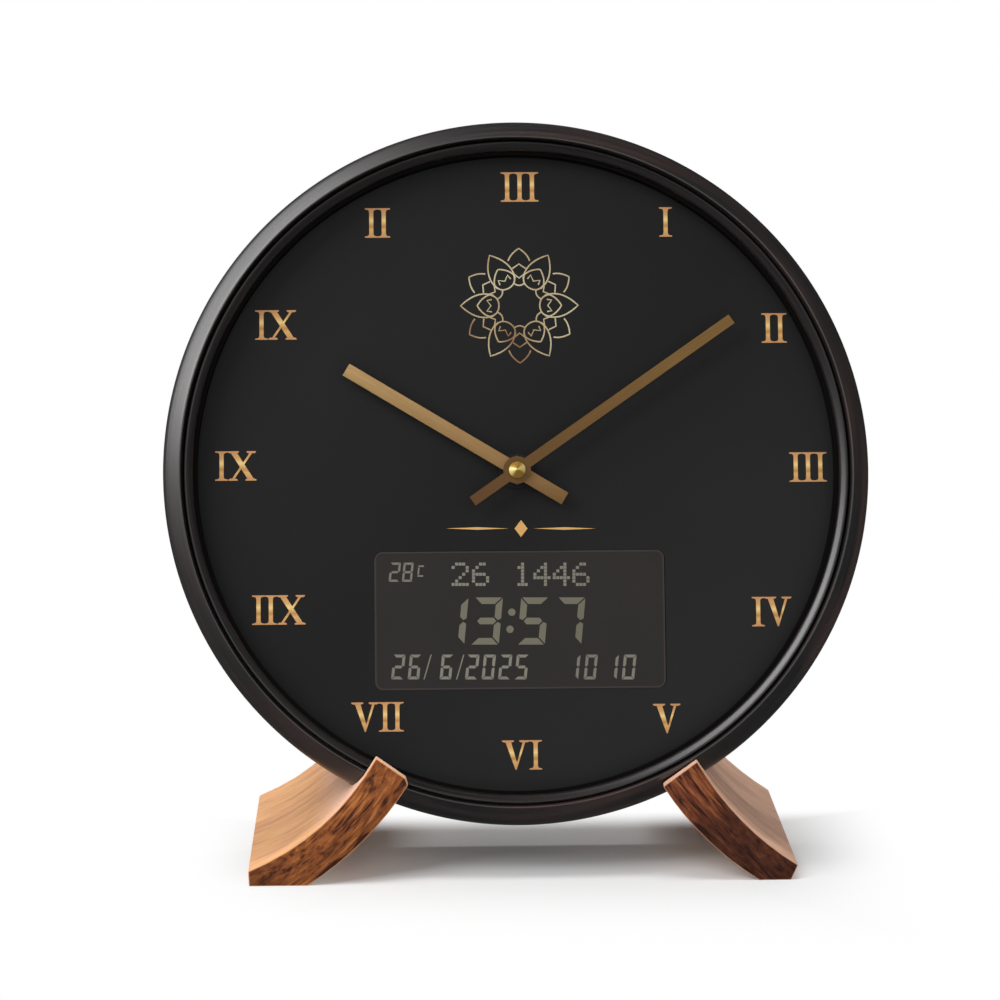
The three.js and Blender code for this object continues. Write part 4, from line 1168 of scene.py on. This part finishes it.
def segment_outline(letter, width, height, stroke):
    """Corners of one segment, from the digit's upper left corner, x right and y down."""
    gap = stroke * blunt_share
    middle = height / 2
    if letter == "g":
        near, far = stroke * bar_point_share + gap, stroke + gap
        half = stroke / 2
        left = [(far, middle + half), (near, middle), (far, middle - half)]
        return left + [(width - x, y) for x, y in reversed(left)]
    if letter in "ad":
        corners = [(gap, 0), (width - gap, 0), (width - stroke - gap, stroke), (stroke + gap, stroke)]
    else:
        corners = [
            (0, gap),
            (stroke, stroke + gap),
            (stroke, middle - stroke / 2 - gap),
            (stroke * post_point_share, middle - gap),
            (0, middle - stroke * post_corner_share),
        ]
    if letter in "bc":
        corners = [(width - x, y) for x, y in corners]
    if letter in "dec":
        corners = [(x, height - y) for x, y in corners]
    return corners


def add_digit(mesh, digit, left, right, top, bottom, stroke, slant):
    height = bottom - top
    width = right - left - slant * height
    for letter in digit_segments[digit]:
        outline = segment_outline(letter, width, height, stroke)
        pixels = [(left + x + slant * (height - y), top + y) for x, y in outline]
        flat_body(mesh, pixels, figure_lift)


def add_dot(mesh, pixel_x, pixel_y, radius, sides=20):
    pixels = []
    for step in range(sides):
        angle = math.tau * step / sides
        pixels.append((pixel_x + radius * math.cos(angle), pixel_y + radius * math.sin(angle)))
    flat_body(mesh, pixels, figure_lift)


print("segments of a zero", len(digit_segments["0"]))

# %% Time
time_top = 597.4
time_bottom = 644.6
time_stroke = 6.6
time_slant = 0.09
time_digits = (("3", 470.5, 503), ("5", 517, 549), ("7", 553.5, 585.5), ("1", 440, 468.5))
colon_radius = 3.7
colon_places = ((511.8, 612.2), (510, 629.3))

time_mesh = bmesh.new()
for digit, left, right in time_digits:
    add_digit(time_mesh, digit, left, right, time_top, time_bottom, time_stroke, time_slant)
for pixel_x, pixel_y in colon_places:
    add_dot(time_mesh, pixel_x, pixel_y, colon_radius)
time_figures = finish_piece(
    time_mesh, "time_figures", "clock", large_characters, merge=fine_merge
)
print("time", len(time_figures.data.polygons), "faces")

# %% Date, alarm and temperature
date_top = 654.6
date_bottom = 679.4
date_stroke = 2.9
date_slant = 0.1
date_digits = (
    ("2", 391, 405.6),
    ("6", 407.6, 421.6),
    ("6", 439.6, 453.6),
    ("2", 465, 479.6),
    ("0", 481.6, 496),
    ("2", 498, 512.4),
    ("5", 514.4, 529),
    ("1", 566, 580.6),
    ("0", 583.6, 598),
    ("1", 605, 619),
    ("0", 621.6, 636.6),
)
date_slashes = ((423.4, 431.8), (456, 464.4))
slash_width = 1.2
warmth_top = 562.6
warmth_bottom = 581.8
warmth_stroke = 2.2
warmth_digits = (("2", 388.6, 401), ("8", 401.8, 413.8))
warmth_sign_bars = (
    [(418.6, 565.4), (424, 565.4), (423.8, 567), (418.4, 567)],
    [(418, 567.6), (419.6, 567.6), (419, 574.6), (417.4, 574.6)],
    [(417.6, 575.2), (423.2, 575.2), (423, 576.8), (417.4, 576.8)],
)

date_mesh = bmesh.new()
for digit, left, right in date_digits:
    add_digit(date_mesh, digit, left, right, date_top, date_bottom, date_stroke, date_slant)
for left, right in date_slashes:
    top, bottom = date_top, date_bottom
    pixels = [(right - slash_width, top), (right, top), (left + slash_width, bottom), (left, bottom)]
    flat_body(date_mesh, pixels, figure_lift)
for digit, left, right in warmth_digits:
    add_digit(date_mesh, digit, left, right, warmth_top, warmth_bottom, warmth_stroke, date_slant)
for pixels in warmth_sign_bars:
    flat_body(date_mesh, pixels, figure_lift)
date_figures = finish_piece(
    date_mesh, "date_figures", "clock", small_characters, merge=fine_merge
)
print("date", len(date_figures.data.polygons), "faces")

# %% Dots of the upper row
dot_figures = {
    "1": ("00100", "01100", "00100", "00100", "00100", "00100", "01110"),
    "2": ("01110", "10001", "00001", "00010", "00100", "01000", "11111"),
    "4": ("00010", "00110", "01010", "10010", "11111", "00010", "00010"),
    "6": ("00110", "01000", "10000", "11110", "10001", "10001", "01110"),
}
row_top = 562.6
dot_pitch_x = 3.52
dot_pitch_y = 3.4
dot_fill_share = 0.86
row_digits = (("2", 451.6), ("6", 472), ("1", 514), ("4", 533.4), ("4", 552.8), ("6", 572.4))

row_mesh = bmesh.new()
for digit, left in row_digits:
    for row, dots in enumerate(dot_figures[digit]):
        for column, dot in enumerate(dots):
            if dot == "1":
                x = left + column * dot_pitch_x
                y = row_top + row * dot_pitch_y
                right = x + dot_pitch_x * dot_fill_share
                low = y + dot_pitch_y * dot_fill_share
                flat_body(row_mesh, [(x, y), (right, y), (right, low), (x, low)], figure_lift)
row_figures = finish_piece(
    row_mesh, "row_figures", "clock", small_characters, merge=fine_merge
)
print("upper row", len(row_figures.data.polygons), "faces")

# %% [markdown]
# The hands are plain strips of brushed brass with square ends and a round boss in the middle. The
# strips are cut from sheet, so their edges are only just broken: copies of the CAD hands get a tiny
# bevel that catches the light.
# Brushed lines run along each strip. The minute hand is a dark bronze, the hour hand a lighter gold.

# %% Copies of CAD pieces
weld_distance = 0.002
flat_degrees = 1


def cad_copy(node):
    """A copy of a CAD node in millimetres of the room, merged, with its flat faces joined."""
    mesh = bmesh.new()
    mesh.from_mesh(frame["nodes"][node].data)
    bmesh.ops.transform(mesh, matrix=table_mm.inverted(), verts=mesh.verts)
    bmesh.ops.remove_doubles(mesh, verts=mesh.verts, dist=weld_distance)
    bmesh.ops.dissolve_limit(
        mesh,
        angle_limit=math.radians(flat_degrees),
        use_dissolve_boundaries=False,
        verts=mesh.verts,
        edges=mesh.edges,
        delimit=set(),
    )
    return mesh


def break_edges(mesh, width, above_degrees, keep=None):
    """Bevels the edges that turn by more than an angle, and returns the new faces."""
    limit = math.radians(above_degrees)
    edges = [e for e in mesh.edges if len(e.link_faces) == 2 and e.calc_face_angle(0) > limit]
    if keep is not None:
        edges = [edge for edge in edges if keep(edge)]
    made = bmesh.ops.bevel(
        mesh,
        geom=edges,
        offset=width,
        offset_type="OFFSET",
        segments=2,
        profile=0.5,
        affect="EDGES",
        clamp_overlap=True,
        material=-1,
    )
    return made["faces"]


print("copies are welded within", weld_distance, "mm")


# %% Hands
def strip_finish(name, degrees, tones, tail_tone):
    material, tree, shader = new_finish(name, Metallic=0.3, Specular_IOR_Level=0.4)
    turn = Matrix.Rotation(math.radians(degrees), 4, "Y")
    vector = place_in(tree, Matrix.Translation(arbor) @ clock_turn @ turn)
    lines = use_effect(tree, brushed_lines, Vector=vector, Lines=2600.0)
    colour = colour_steps(tree, lines["Lines"], (0.28, tones[0]), (0.5, tones[1]), (0.72, tones[2]))
    colour = blend_colours(tree, spread(tree, lines["Cloud"], 0.3, 0.7, 0.0, 0.3), colour, tones[0])
    along = split(tree, vector)["X"]
    colour = blend_colours(tree, spread(tree, along, -0.03, 0.08, 1.0, 0.0), colour, tail_tone)
    gloss = spread(tree, lines["Lines"], 0.3, 0.7, 0.36, 0.5)
    wire(tree, shader, colour, gloss, lines["Lines"], bump_distance=0.00004, strength=0.4)
    return material


hand_bevel = 0.12
corner_degrees = 50
minute_degrees = -34.8
hour_degrees = -148.9
bronze_tones = (paint(112, 82, 38), paint(122, 90, 44), paint(134, 100, 52))
gold_tones = (paint(160, 128, 80), paint(172, 138, 90), paint(184, 150, 102))
minute_finish = strip_finish("bronze_strip", minute_degrees, bronze_tones, paint(94, 63, 27))
hour_finish = strip_finish("gold_strip", hour_degrees, gold_tones, paint(128, 94, 50))

for node, body, material in (
    ("minute_hand", "minute_work", minute_finish),
    ("hour_hand", "hour_work", hour_finish),
):
    mesh = cad_copy(node)
    break_edges(mesh, hand_bevel, corner_degrees)
    piece = finish_piece(mesh, f"{node}_strip", body, material, place=table_mm)
    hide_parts(node)
    print(piece.name, len(piece.data.polygons), "faces")

# %% [markdown]
# A small turned brass cap closes the arbor. It is a blunt cone with a flat tip, left by the tool with
# fine rings, which is why its highlight splits into two bright wedges, left and right of the axis.
# The rings are too fine for a bump to show that at this size, so the finish lightens the brass in two
# wedges by the direction from the axis, and keeps the rings as relief.

# %% Cap
cap_front = 3.1
cap_back = 6.1
cap_radius = 3.5
cap_tip_radius = 0.5
cap_edge = 0.25
cap_steps = 96
wedge_degrees = 14

cap_finish, tree, shader = new_finish("turned_brass", Metallic=0.45, Anisotropic=0.8)
clock_vector = place_in(tree, clock_place)
grain = use_effect(tree, turned_grain, Vector=clock_vector, Lines=5200.0, Round=0.6)
outwards = vector_sums(tree, "NORMALIZE", stretched(tree, clock_vector, (1, 0, 1)))
wedge_line = (math.cos(math.radians(wedge_degrees)), 0, math.sin(math.radians(wedge_degrees)))
inputs = {0: outwards, 1: wedge_line}
towards = add_node(tree, "ShaderNodeVectorMath", inputs, operation="DOT_PRODUCT").outputs["Value"]
wedge = spread(tree, sums(tree, "ABSOLUTE", towards), 0.7, 1.0)
brass = blend_colours(tree, grain["Grain"], paint(150, 112, 38), paint(182, 142, 58))
colour = blend_colours(tree, wedge, brass, paint(255, 236, 150))
gloss = spread(tree, grain["Grain"], 0.3, 0.7, 0.26, 0.36)
wire(tree, shader, colour, gloss, grain["Grain"], bump_distance=0.00003, strength=0.4)
tangent = add_node(tree, "ShaderNodeTangent", direction_type="RADIAL", axis="Y")
tree.links.new(tangent.outputs["Tangent"], shader.inputs["Tangent"])

cap_outline = [
    (0, cap_front),
    (cap_tip_radius, cap_front),
    (cap_radius - cap_edge, cap_back - 4 * cap_edge),
    (cap_radius, cap_back - 3 * cap_edge),
    (cap_radius, cap_back),
    (0, cap_back),
]
cap_piece = finish_piece(spun(cap_outline, cap_steps), "cap_cone", "minute_work", cap_finish)
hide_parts("hand_cap")
print("cap", len(cap_piece.data.polygons), "faces")

# %% [markdown]
# Each foot is one block sawn to a slanted outline, with a slot for the frame. Copies of the CAD feet
# keep that shape exactly. Their arrises are softened by half a millimetre, as sanding leaves them, but
# not inside the slot.
# While the faces are at hand, the script marks which of them are sawn and which are softened corners.

# %% Feet
arris_width = 0.55
arris_degrees = 24
sawn_turn = 0.8
slot_clear_radius = 151.5
slot_clear_front = -1.0


def outside_slot(edge):
    middle = (edge.verts[0].co + edge.verts[1].co) / 2
    spot = clock_from_room @ (table_mm @ middle)
    return math.hypot(spot.x, spot.z) > slot_clear_radius or spot.y < slot_clear_front


for node, body, material in (
    ("left_foot", "foot_left", left_foot_finish),
    ("right_foot", "foot_right", right_foot_finish),
):
    mesh = cad_copy(node)
    sawn = mesh.faces.layers.float.new("sawn_shaded_share")
    arris = mesh.faces.layers.float.new("arris_highlight_share")
    softened = set(break_edges(mesh, arris_width, arris_degrees, keep=outside_slot))
    mesh.normal_update()
    # The marks pick the painted shade of the sawn faces, the painted light of the planed ones and the
    # painted highlight of the arrises.
    for face in mesh.faces:
        face[sawn] = 1.0 if abs(face.normal.y) > sawn_turn else 0.0
        face[arris] = 1.0 if face in softened else 0.0
    piece = finish_piece(mesh, f"{node}_block", body, material, place=table_mm)
    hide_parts(node)
    print(piece.name, len(softened), "softened of", len(piece.data.polygons), "faces")

# %% [markdown]
# Everything else is moulded, stamped or bought. The moulded pieces share one recipe: a slight cloud in
# the colour, as the resin cools unevenly, and a fine etched grain in the relief. The metal pieces share
# another: brushed lines that change the gloss. Each call sets its tones, so that two kinds of plastic
# or metal never look the same.

# %% Finishes of moulded and stamped pieces
def moulded(name, low, high, grains, relief, rough):
    return speckled(name, low, high, grains, gloss=(rough - 0.07, rough + 0.07), level=0.35, relief=relief)


def stamped(name, low, high, rough):
    material, tree, shader = new_finish(name, Metallic=1.0)
    lines = use_effect(tree, brushed_lines, Vector=place_in(tree, clock_place), Lines=1900.0)
    colour = blend_colours(tree, spread(tree, lines["Cloud"], 0.3, 0.7), low, high)
    gloss = spread(tree, lines["Lines"], 0.3, 0.7, rough - 0.08, rough + 0.08)
    wire(tree, shader, colour=colour, roughness=gloss, height=lines["Lines"], bump_distance=0.00003)
    return material


cover_finish = moulded("etched_black", paint(34, 34, 36), paint(43, 43, 45), 900.0, 0.00012, 0.62)
case_finish = moulded("smooth_black", paint(28, 28, 30), paint(38, 38, 40), 2400.0, 0.00003, 0.42)
button_finish = moulded("button_grey", paint(112, 112, 117), paint(124, 124, 129), 2600.0, 0.00002, 0.44)
pale_finish = moulded("pale_acetal", paint(214, 213, 207), paint(226, 225, 219), 2000.0, 0.00002, 0.38)
guide_finish = moulded("milky_guide", paint(228, 231, 232), paint(240, 242, 242), 800.0, 0.00001, 0.2)
knob_finish = moulded("knob_ivory", paint(196, 192, 180), paint(210, 206, 194), 2600.0, 0.00003, 0.46)
rubber_finish = moulded("soft_rubber", paint(26, 26, 26), paint(36, 36, 36), 3000.0, 0.00004, 0.78)
steel_finish = stamped("plated_steel", paint(176, 178, 182), paint(196, 198, 202), 0.34)
screw_finish = stamped("blackened_screw", paint(92, 92, 96), paint(118, 118, 122), 0.38)
magnet_finish = stamped("dull_magnet", paint(120, 122, 126), paint(142, 144, 148), 0.5)
wheel_finish = stamped("wheel_brass", paint(196, 158, 78), paint(216, 182, 104), 0.32)
print("finishes", len(bpy.data.materials))

# %% [markdown]
# Some pieces need a pattern of their own. The board has copper tracks that show as lighter green lines
# under the lacquer. The paper of the loudspeaker's cone is pressed with fine rings and mottled by its
# fibres. The coil is wound in fine turns along its core. The pane of the display is a dark olive glass
# with a cool sheen.

# %% Finishes with a pattern
speaker_height = 82

board_finish, tree, shader = new_finish("lacquered_board", Specular_IOR_Level=0.5)
vector = place_in(tree, clock_place)
parts = split(tree, vector)
flat = join(tree, X=parts["X"], Y=parts["Z"])
inputs = {"Vector": flat, "Scale": 160.0, "Mortar Size": 0.06, "Brick Width": 0.9, "Row Height": 0.32}
tracks = add_node(tree, "ShaderNodeTexBrick", inputs, offset=0.37).outputs["Fac"]
some = spread(tree, noise(tree, flat, 70.0, 1.0), 0.48, 0.52)
shown = sums(tree, "MULTIPLY", tracks, some)
grain = use_effect(tree, speckle, Vector=vector, Grains=1800.0)
lacquer = blend_colours(tree, grain["Cloud"], paint(22, 84, 52), paint(30, 98, 62))
colour = blend_colours(tree, shown, lacquer, paint(74, 140, 84))
gloss = spread(tree, grain["Height"], 0.3, 0.7, 0.24, 0.34)
wire(tree, shader, colour, gloss, shown, bump_distance=0.00004)

cone_finish, tree, shader = new_finish("pressed_paper", Specular_IOR_Level=0.15)
speaker_place = clock_place @ Matrix.Translation((0, 0, speaker_height * mm))
grain = use_effect(tree, turned_grain, Vector=place_in(tree, speaker_place), Lines=900.0, Round=6.0)
fibres = noise(tree, place_in(tree), 1400.0, 3.0, 0.7)
colour = blend_colours(tree, spread(tree, fibres, 0.3, 0.7), paint(46, 44, 42), paint(66, 63, 60))
gloss = spread(tree, fibres, 0.3, 0.7, 0.75, 0.9)
wire(tree, shader, colour=colour, roughness=gloss, height=grain["Grain"])

coil_finish, tree, shader = new_finish("wound_wire", Metallic=0.7, Specular_IOR_Level=0.5)
vector = place_in(tree, clock_place)
inputs = {"Vector": vector, "Scale": 1600.0, "Distortion": 0.4}
turns = add_node(tree, "ShaderNodeTexWave", inputs).outputs["Fac"]
colour = blend_colours(tree, turns, paint(120, 62, 36), paint(198, 124, 78))
gloss = spread(tree, turns, 0, 1, 0.42, 0.28)
wire(tree, shader, colour, gloss, turns, bump_distance=0.00008)

pane_finish = speckled(
    "display_pane", paint(84, 92, 78), paint(98, 106, 90), 600.0, gloss=(0.08, 0.14), level=0.5
)
print("patterns", board_finish.name, cone_finish.name, coil_finish.name, pane_finish.name)

# %% [markdown]
# A cell is a steel can in a plain printed sleeve. The bright end with the terminal, a light band and a
# dark body follow each other along the cell, so the finish only needs to know where the cell's middle
# lies and which way it points. A box round the CAD node tells the middle.

# %% Finish of the cells
sleeve_end = 23.2
band_start = 12


def clock_box(node):
    """The lowest and highest corner of a CAD node in the clock's millimetres."""
    spots = [clock_from_room @ vert.co for vert in frame["nodes"][node].data.vertices]
    low = Vector([min(spot[axis] for spot in spots) for axis in range(3)])
    high = Vector([max(spot[axis] for spot in spots) for axis in range(3)])
    return low, high


def cell_finish(node, direction):
    low, high = clock_box(node)
    middle = (low + high) / 2 * mm
    material, tree, shader = new_finish(f"{node}_sleeve", Specular_IOR_Level=0.5)
    vector = place_in(tree, clock_place @ Matrix.Translation(middle))
    along = sums(tree, "MULTIPLY", split(tree, vector)["X"], direction / mm)
    can = sums(tree, "GREATER_THAN", sums(tree, "ABSOLUTE", along), sleeve_end)
    band = sums(tree, "GREATER_THAN", along, band_start)
    grain = use_effect(tree, speckle, Vector=vector, Grains=2200.0)
    body = blend_colours(tree, grain["Cloud"], paint(44, 86, 132), paint(54, 98, 146))
    sleeve = blend_colours(tree, band, body, paint(198, 202, 206))
    colour = blend_colours(tree, can, sleeve, paint(170, 172, 176))
    gloss = spread(tree, grain["Height"], 0.3, 0.7, 0.28, 0.38)
    wire(tree, shader, colour, gloss, can, bump_distance=0.00005)
    tree.links.new(can, shader.inputs["Metallic"])
    return material


cells = (("tray_battery_1", 1), ("tray_battery_2", -1), ("movement_battery", 1))
for node, direction in cells:
    dress(node, cell_finish(node, direction))
print("cells", [node for node, _ in cells])

# %% [markdown]
# The six screws of the cover have a cross recess. A circle and a cross are bridged to make the head's
# face, the cross goes down into the head, and the circle is drawn in to the shank and closed at the
# tip.

# %% Cover screws
screw_count = 6
screw_sides = 36
cross_arm = 1.5
cross_half = 0.36
recess_depth = 1.1
recess_share = 0.45
head_radius = 2.8
head_height = 1.6
shank_radius = 1.5


def loop_at(mesh, points, depth):
    verts = [mesh.verts.new((x, depth, z)) for x, z in points]
    return [mesh.edges.new(pair) for pair in zip(verts, verts[1:] + verts[:1])]


def drawn_in(mesh, edges, vec, share, middle):
    """Extrudes a loop of edges, moves the new loop and scales it about the middle."""
    made = bmesh.ops.extrude_edge_only(mesh, edges=edges)["geom"]
    verts = [item for item in made if isinstance(item, bmesh.types.BMVert)]
    bmesh.ops.translate(mesh, verts=verts, vec=vec)
    about = Matrix.Translation(-middle)
    bmesh.ops.scale(mesh, verts=verts, vec=(share, 1, share), space=about)
    return [item for item in made if isinstance(item, bmesh.types.BMEdge)], verts


def cross_screw(middle, tip):
    """A countersunk screw whose head lies at the middle and whose tip reaches that depth."""
    mesh = bmesh.new()
    circle = []
    for step in range(screw_sides):
        angle = math.tau * step / screw_sides
        circle.append((middle.x + head_radius * math.cos(angle), middle.z + head_radius * math.sin(angle)))
    a, b = cross_arm, cross_half
    quarter = [(a, -b), (a, b), (b, b)]
    cross = []
    for turn in range(4):
        cross += quarter
        quarter = [(-z, x) for x, z in quarter]
    rim = loop_at(mesh, circle, middle.y)
    slot = loop_at(mesh, [(middle.x + x, middle.z + z) for x, z in cross], middle.y)
    bmesh.ops.bridge_loops(mesh, edges=rim + slot)
    _, floor_verts = drawn_in(mesh, slot, (0, -recess_depth, 0), recess_share, middle)
    mesh.faces.new(floor_verts)
    shank, _ = drawn_in(mesh, rim, (0, -head_height, 0), shank_radius / head_radius, middle)
    length = middle.y - head_height - tip
    shank, _ = drawn_in(mesh, shank, (0, shank_radius - length, 0), 1, middle)
    _, tip_verts = drawn_in(mesh, shank, (0, -shank_radius, 0), 0, middle)
    bmesh.ops.pointmerge(mesh, verts=tip_verts, merge_co=tip_verts[0].co)
    return mesh


for number in range(1, screw_count + 1):
    low, high = clock_box(f"cover_screw_{number}")
    middle = Vector(((low.x + high.x) / 2, high.y, (low.z + high.z) / 2))
    mesh = cross_screw(middle, low.y)
    piece = finish_piece(mesh, f"cross_screw_{number}", "clock", screw_finish)
    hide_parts(f"cover_screw_{number}")
print("screws", number, "faces each", len(piece.data.polygons))

# %% [markdown]
# The four set buttons are turned in one spin each: a slim stem that presses the switch, a collar that
# keeps it in, and a tip with a soft round edge that a finger feels. Their CAD boxes give their places
# and lengths.

# %% Set buttons
button_count = 4
button_radius = 3.2
collar_radius = 4.6
collar_thickness = 1.4
collar_behind = 4.0
button_round = 0.7
round_steps = 6
button_steps = 64

for number in range(1, button_count + 1):
    low, high = clock_box(f"set_button_{number}")
    x, z = (low.x + high.x) / 2, (low.z + high.z) / 2
    collar_back = high.y - collar_behind
    outline = [
        (0, low.y),
        (button_radius, low.y),
        (button_radius, collar_back - collar_thickness),
        (collar_radius, collar_back - collar_thickness),
        (collar_radius, collar_back),
        (button_radius, collar_back),
    ]
    round_x, round_y = button_radius - button_round, high.y - button_round
    for step in range(round_steps + 1):
        angle = math.radians(90) * step / round_steps
        outline.append((round_x + button_round * math.cos(angle), round_y + button_round * math.sin(angle)))
    outline.append((0, high.y))
    mesh = spun(outline, button_steps, x, z)
    piece = finish_piece(mesh, f"button_cap_{number}", f"button_{number}", button_finish)
    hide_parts(f"set_button_{number}")
print("buttons", number, "faces each", len(piece.data.polygons))

# %% [markdown]
# The battery door is a plain lid with five grip ribs. A copy of the CAD door gets its edges broken,
# because a real moulded lid has no razor edges and the small rounds catch the light behind.

# %% Battery door
door_bevel = 0.3
door_mesh = cad_copy("battery_door")
break_edges(door_mesh, door_bevel, corner_degrees)
door_piece = finish_piece(door_mesh, "battery_lid", "door", case_finish, place=table_mm)
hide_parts("battery_door")
print("door", len(door_piece.data.polygons), "faces")

# %% [markdown]
# The remaining CAD nodes keep their shapes. A table says which finish each one gets.

# %% Finishes of the remaining nodes
wearers = (
    (cover_finish, ("rear_cover",)),
    (case_finish, ("dial_spacer", "battery_tray", "movement_front", "movement_back")),
    (pane_finish, ("display_cell",)),
    (guide_finish, ("light_guide",)),
    (pale_finish, ("display_holder", "hour_wheel", "minute_wheel", "third_wheel", "fourth_wheel")),
    (board_finish, ("main_board",)),
    (knob_finish, ("setting_knob",)),
    (wheel_finish, ("centre_wheel",)),
    (screw_finish, ("bush_nut",)),
    (rubber_finish, ("bush_washer", "speaker_lead", "battery_lead")),
    (steel_finish, ("speaker_basket", "stator", "tray_contact_left", "tray_contact_right")),
    (steel_finish, ("movement_contact_left", "movement_contact_right")),
    (magnet_finish, ("speaker_magnet", "rotor")),
    (cone_finish, ("speaker_cone",)),
    (coil_finish, ("coil",)),
)
for material, nodes in wearers:
    for node in nodes:
        dress(node, material)
print("dressed", sum(len(nodes) for _, nodes in wearers))
